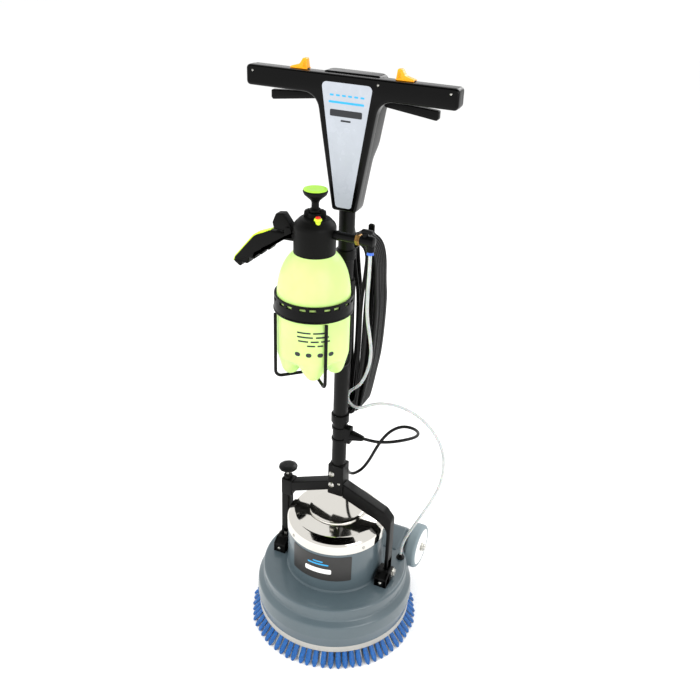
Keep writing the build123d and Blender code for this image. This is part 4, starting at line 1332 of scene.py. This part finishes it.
# --- hooks and holder -----------------------------------------------------------------------
class FLOORMACHINE_OT_hooks(Build, bpy.types.Operator):
    """Adds the two cable hooks and the straps that hold them to the pole."""

    bl_idname = "floor_machine.hooks"
    bl_label = "Cable hooks"

    def execute(self, context):
        for name, z, way in (("hook_top", 851.5, 1), ("hook_bottom", 504.5, -1)):
            low, high = sorted((z - way * 6, z + way * 20))
            strap = turned(rounded([(14.6, z - 9), (18, z - 9, 1), (18, z + 9, 1), (14.6, z + 9)]), steps=48)
            arm = turned([(0, 15.5), (4.5, 15.5), (4.5, 113), (0, 113)], "Y", (0.0, z), 24)
            post = slab(
                rounded([(-6, low, 2), (6, low, 2), (6, high, 4), (-6, high, 4)], 5), "Y", 112, 118, 1.4
            )
            rib = slab(
                rounded([(16, z - 6), (34, z - 4.5), (34, z + 4.5), (16, z + 6)], 2), "X", -1.6, 1.6,
                0.5
            )
            piece = solid(f"{name}_arm", [strap, arm, post, rib])
            dress(piece, "handle", "black_paint", black_nylon(), name)
        return {"FINISHED"}


class FLOORMACHINE_OT_holder(Build, bpy.types.Operator):
    """Adds the bottle's band, its wire cage and the clamp on the pole."""

    bl_idname = "floor_machine.holder"
    bl_label = "Bottle holder"

    def execute(self, context):
        x, y = BOTTLE
        band = turned(
            rounded([
                (66.2, 782), (70.4, 782, 0.6), (70.4, 784.5, 0.6), (69.2, 785.5, 0.6),
                (69.2, 803, 0.8), (66.2, 803)
            ]),
            "Z", BOTTLE, 120
        )
        ring = turned(
            rounded([(66.2, 807.6), (69.0, 807.6, 0.6), (69.0, 812, 0.8), (66.2, 812)]), "Z", BOTTLE,
            120
        )
        ribs = []
        for turn in np.arange(0, 360, 18):
            wide = 7.0 if turn % 36 else 3.0
            tooth = slab(
                rounded([(-wide, 802), (wide, 802), (wide, 808.5), (-wide, 808.5)]), "X", 66.4, 69.0,
                0.2
            )
            ribs.append(moved(tooth, turn_z(turn), (x, y, 0)))
        piece = solid("holder_band", [band, ring] + ribs)
        plastic = black_nylon()
        dress(piece, "handle", "black_paint", plastic, "bottle_holder")
        wires = []
        for turn in (45.0, 135.0):
            across = rounded([(-69.5, 779), (-69.5, 655, 12), (69.5, 655, 12), (69.5, 779)], 8)
            path = np.column_stack([across[:, 0], np.zeros(len(across)), across[:, 1]])
            dense = np.concatenate([np.linspace(path[k], path[k + 1], 8, endpoint=False)
                                    if np.linalg.norm(path[k + 1] - path[k]) > 20 else path[k:k + 1]
                                    for k in range(len(path) - 1)] + [path[-1:]])
            wires.append(moved(piped(dense, 3.0, 12), turn_z(turn), (x, y, 0)))
        dress(solid("holder_cage", wires), "handle", "black_paint", powder_coat())
        strap = turned(rounded([(14.6, 778), (18, 778, 1), (18, 802, 1), (14.6, 802)]), steps=48)
        arm = slab(rounded(rectangle(-8, 8, 782, 798, 1), 3), "Y", -30.5, -15, 0.6)
        towards = math.degrees(math.atan2(x, -y))
        piece = solid("holder_strap", [strap, moved(arm, turn_z(towards))])
        dress(piece, "handle", "black_paint", plastic, "holder_clamp")
        return {"FINISHED"}


# --- sprayer --------------------------------------------------------------------------------
def petals(a, radius, height):
    """Five rounded feet: below 700 mm the radius dips between feet and the foot's height lifts.

    The dip is 0.16 of the radius at the floor of the bottle, fading upwards; between feet the
    bottom rises by up to 26 mm.
    """
    wave = (0.5 - 0.5 * np.cos(5 * (a - math.radians(-62.0)))) ** 1.5
    low = np.clip((712.0 - height) / 52.0, 0.0, 1.0) ** 1.5
    lift = 26.0 * wave * np.clip((700.0 - height) / 40.0, 0.0, 1.0) * np.clip(radius / 30.0, 0.0, 1.0)
    return radius * (1.0 - 0.16 * wave * low), height + lift


class FLOORMACHINE_OT_sprayer(Build, bpy.types.Operator):
    """Adds the sprayer: bottle, collar, grip, pump, relief valve and outlet."""

    bl_idname = "floor_machine.sprayer"
    bl_label = "Sprayer"

    def execute(self, context):
        self.bottle()
        self.collar()
        self.grip()
        self.pump()
        self.outlet()
        return {"FINISHED"}

    def bottle(self):
        t = np.linspace(0.0, 1.0, 24)[:, None]
        foot = rounded(
            [(0, 676), (20, 672, 10), (36, 659, 12), (54, 660, 17), (64.5, 700, 34), (64.5, 796)], 10
        )
        foot = foot[:-1]
        wall = np.column_stack([np.full(14, 64.5), np.linspace(foot[-1, 1], 796, 15)[1:]])
        rise = np.sin(t * np.pi / 2 * 0.74)
        dome = np.column_stack([64.5 * (1 - rise ** 2.4) ** (1 / 2.4), 796 + 100 * rise])
        neck = np.array([(30.0, 889.0), (30.0, 897.0), (28.4, 897.0), (28.4, 884.0)])
        outer = np.concatenate([foot, wall, dome[1:]])
        keep = outer[:, 0] >= 30.0
        keep[:len(foot)] = True
        profile = np.concatenate([outer[keep], neck, [(26.0, 874.0), (0.0, 872.0)]])
        piece = solid("bottle", [turned(profile, "Z", BOTTLE, 180, petals)], 60)
        dress(piece, "handle", "bottle_pe", blown_polythene(), "bottle_body")
        parts = []
        for z, bars in ((762, ((-30, -6), (-2, 24))), (754, ((-30, -2), (3, 26))),
                        (746, ((-28, -10), (-6, 8), (12, 28))),
                        (738, ((-12, 2), (6, 16)))):
            for low, high in bars:
                patch = wrapped_sheet(low, high, z - 1.5, z + 1.5, 64.45, 0.25, 0.8, 12)
                parts.append(moved(patch, turn_z(-62.0), (BOTTLE[0], BOTTLE[1], 0)))
        for k in range(4):
            patch = wrapped_sheet(-34 + 20 * k, -24 + 20 * k, 716, 724, 64.45, 0.25, 3.9, 12)
            parts.append(moved(patch, turn_z(-62.0), (BOTTLE[0], BOTTLE[1], 0)))
        dress(solid("level_marks", parts), "handle", "bottle_pe", moulded("dark_ink", "#24262A", 0.35, 0.45))

    def collar(self):
        body = rounded(
            [
                (30.5, 884), (36, 884, 1), (36.4, 934, 12), (26, 945, 8), (12.5, 948, 2),
                (12.5, 955, 1.5), (7.1, 955), (7.1, 898), (30.5, 898)
            ],
            8
        )

        def knurl(a, radius, height):
            """Fine upright flutes on the skirt, 0.25 mm deep, 90 round it."""
            skirt = ((radius > 35.5) & (height < 926)).astype(float)
            return radius - 0.25 * skirt * (0.5 + 0.5 * np.cos(90 * a)), height

        parts = [turned(body, "Z", BOTTLE, 360, knurl)]
        for turn in (20.0, 200.0):
            ear = slab(
                rounded([(9, 945), (19, 945), (18, 957, 3), (12, 960, 3), (9, 960)], 4), "Y", -5, 5, 1.4
            )
            parts.append(moved(ear, turn_z(turn), (BOTTLE[0], BOTTLE[1], 0)))
        black = moulded("black_polypropylene", "#0B0B0A", 0.4, 0.5, gloss=0.1)
        dress(solid("collar", parts), "handle", "black_plastic", black, "sprayer_collar")
        at = (BOTTLE[0] + 15.0, BOTTLE[1] - 19.0)
        stem = turned(
            rounded([(0, 940), (4.6, 940), (4.6, 947), (6.8, 948.5, 1), (6.2, 952, 1), (0, 952)]), "Z",
            at, 32
        )
        lime = moulded("lime_plastic", "#C9EA2E", 0.24, 0.34)
        piece = solid("relief_stem", [stem])
        dress(piece, "relief", "green_plastic", lime, "relief_valve")
        cap = turned(rounded([(0, 951.8), (4.4, 951.8), (4.2, 954.8, 1.2), (0, 955)]), "Z", at, 32)
        dress(
            solid("relief_cap", [cap]), "relief", "green_plastic",
            moulded("red_plastic", "#D8301F", 0.24, 0.34)
        )

    def grip(self):
        y = BOTTLE[1]
        black = moulded("black_polypropylene", "#0B0B0A", 0.4, 0.5, gloss=0.1)
        outline = rounded(
            [
                (-46, 926, 3), (-56, 912, 3), (-92, 912, 8), (-126, 897, 34), (-166, 850, 4),
                (-168, 842, 3), (-155, 833, 3), (-150, 842, 2), (-140, 841, 3), (-136, 853, 2),
                (-126, 852, 3), (-122, 864, 2), (-112, 863, 3), (-107, 875, 2), (-96, 875, 4),
                (-88, 887, 8), (-70, 899, 10), (-46, 900)
            ],
            6
        )
        parts = [slab(outline, "Y", y - 12, y + 12, 4.0, 5)]
        for y0, y1 in ((y - 12, y - 9.4), (y + 9.4, y + 12)):
            cheek = rounded([(-66, 903), (-66, 920, 3), (-62, 923, 3), (-54, 923, 3), (-50, 905)], 4)
            parts.append(slab(cheek, "Y", y0, y1, 0.6))
        dress(solid("grip", parts), "handle", "black_plastic", black, "spray_handle")
        strip = rounded(
            [
                (-94, 913, 1), (-127, 899.5, 32), (-167.5, 851, 3), (-171, 842, 1), (-168.5, 840.5, 1),
                (-164, 847, 3), (-124.5, 894.5, 30), (-94, 908, 1)
            ],
            6
        )
        lime = moulded("lime_plastic", "#C9EA2E", 0.24, 0.34)
        dress(
            solid("grip_strip", [slab(strip, "Y", y - 8.5, y + 8.5, 1.6)]), "handle", "green_plastic",
            lime
        )
        lever = rounded([
            (-49, 918, 3), (-54, 914.5, 2), (-88, 914.5, 2), (-91, 926, 3), (-84, 943, 4), (-70, 945, 4),
        ], 6)
        piece = solid("thumb_lever", [slab(lever, "Y", y - 9, y + 9, 2.6)])
        dress(piece, "thumb", "black_plastic", black, "thumb_trigger")

    def pump(self):
        stem = rounded(
            [
                (0, 880), (6.9, 880), (6.9, 955), (9.8, 956, 1), (10.2, 960, 1), (6.4, 963, 2),
                (6.2, 974, 10), (19.0, 985.5, 4), (21.2, 991, 2), (19.4, 993.6, 0.6), (0, 993.6)
            ],
            8
        )
        black = moulded("black_polypropylene", "#0B0B0A", 0.4, 0.5, gloss=0.1)
        piece = solid("pump_knob", [turned(stem, "Z", BOTTLE, 72)])
        dress(piece, "pump", "black_plastic", black, "pump_handle")
        pad = turned(
            rounded([(0, 992.8), (19.6, 992.8), (20.4, 994.6, 0.8), (15, 995.4, 3), (0, 994.2)], 6),
            "Z", BOTTLE, 72
        )
        dress(
            solid("pump_pad", [pad]), "pump", "green_plastic",
            moulded("green_rubber", "#A6DE3C", 0.34, 0.46)
        )

    def outlet(self):
        y, z = BOTTLE[1], 922.0
        black = black_nylon()
        parts = [
            turned(
                rounded([(0, 18), (7.5, 20), (8.5, 30, 1.5), (7.4, 33, 1), (7.4, 62), (0, 62)]), "X",
                (y, z), 40
            ),
            turned(rounded([(0, 70), (8.4, 70, 0.6), (9, 74, 1), (9, 94, 2), (0, 96)]), "X", (y, z), 40),
            turned(rounded([(0, 905), (7.4, 905, 0.8), (7.4, 920), (0, 922)]), "Z", (88.0, y), 32),
            turned(rounded([(0, 926), (5, 926), (5, 936), (0, 936)]), "Z", (78.0, y), 24),
            slab(
                rounded([(70, 935.5, 1.5), (92, 935.5, 1.5), (90, 941, 1.5), (72, 941, 1.5)], 4), "Y",
                y - 4, y + 4, 1.0
            )
        ]
        dress(solid("outlet_tap", parts), "handle", "black_plastic", black, "flow_valve")
        dress(
            solid("outlet_nut", [hex_nut(9.8, "X", (y, z), 62, 8)]), "handle", "brass", turned_brass(),
            "brass_nut"
        )
        collet = turned(
            rounded([(3.1, 899.6), (6.4, 899.6, 0.5), (5.6, 902, 0.5), (5.6, 905), (3.1, 905)]), "Z",
            (88.0, y), 32
        )
        dress(
            solid("outlet_collet", [collet]), "handle", "blue_plastic",
            moulded("blue_acetal", "#3E6BD0", 0.2, 0.3), "hose_collet"
        )


OPERATORS = (
    FLOORMACHINE_OT_stage, FLOORMACHINE_OT_cords, FLOORMACHINE_OT_deck, FLOORMACHINE_OT_cover,
    FLOORMACHINE_OT_badge, FLOORMACHINE_OT_brush, FLOORMACHINE_OT_wheels, FLOORMACHINE_OT_brackets,
    FLOORMACHINE_OT_inside, FLOORMACHINE_OT_yoke, FLOORMACHINE_OT_lock, FLOORMACHINE_OT_connector,
    FLOORMACHINE_OT_head, FLOORMACHINE_OT_controls, FLOORMACHINE_OT_hooks, FLOORMACHINE_OT_holder,
    FLOORMACHINE_OT_sprayer,
)


class FLOORMACHINE_PT_panel(bpy.types.Panel):
    """Lists the machine's settings and the steps that build it."""

    bl_idname = "FLOORMACHINE_PT_panel"
    bl_label = "Floor machine"
    bl_space_type = "VIEW_3D"
    bl_region_type = "UI"
    bl_category = "Floor machine"

    def draw(self, context):
        for name in FloorMachineSettings.__annotations__:
            self.layout.prop(context.scene.floor_machine, name)
        for step in OPERATORS:
            self.layout.operator(step.bl_idname)


def register():
    """Registers the settings, the operators and the panel."""
    for kind in (FloorMachineSettings, *OPERATORS, FLOORMACHINE_PT_panel):
        bpy.utils.register_class(kind)
    bpy.types.Scene.floor_machine = bpy.props.PointerProperty(type=FloorMachineSettings)


def unregister():
    """Removes them again."""
    del bpy.types.Scene.floor_machine
    for kind in (FLOORMACHINE_PT_panel, *reversed(OPERATORS), FloorMachineSettings):
        bpy.utils.unregister_class(kind)


def main():
    """Builds the machine."""
    register()
    for step in OPERATORS:
        group, name = step.bl_idname.split(".")
        getattr(getattr(bpy.ops, group), name)()


if __name__ == "__main__":
    main()
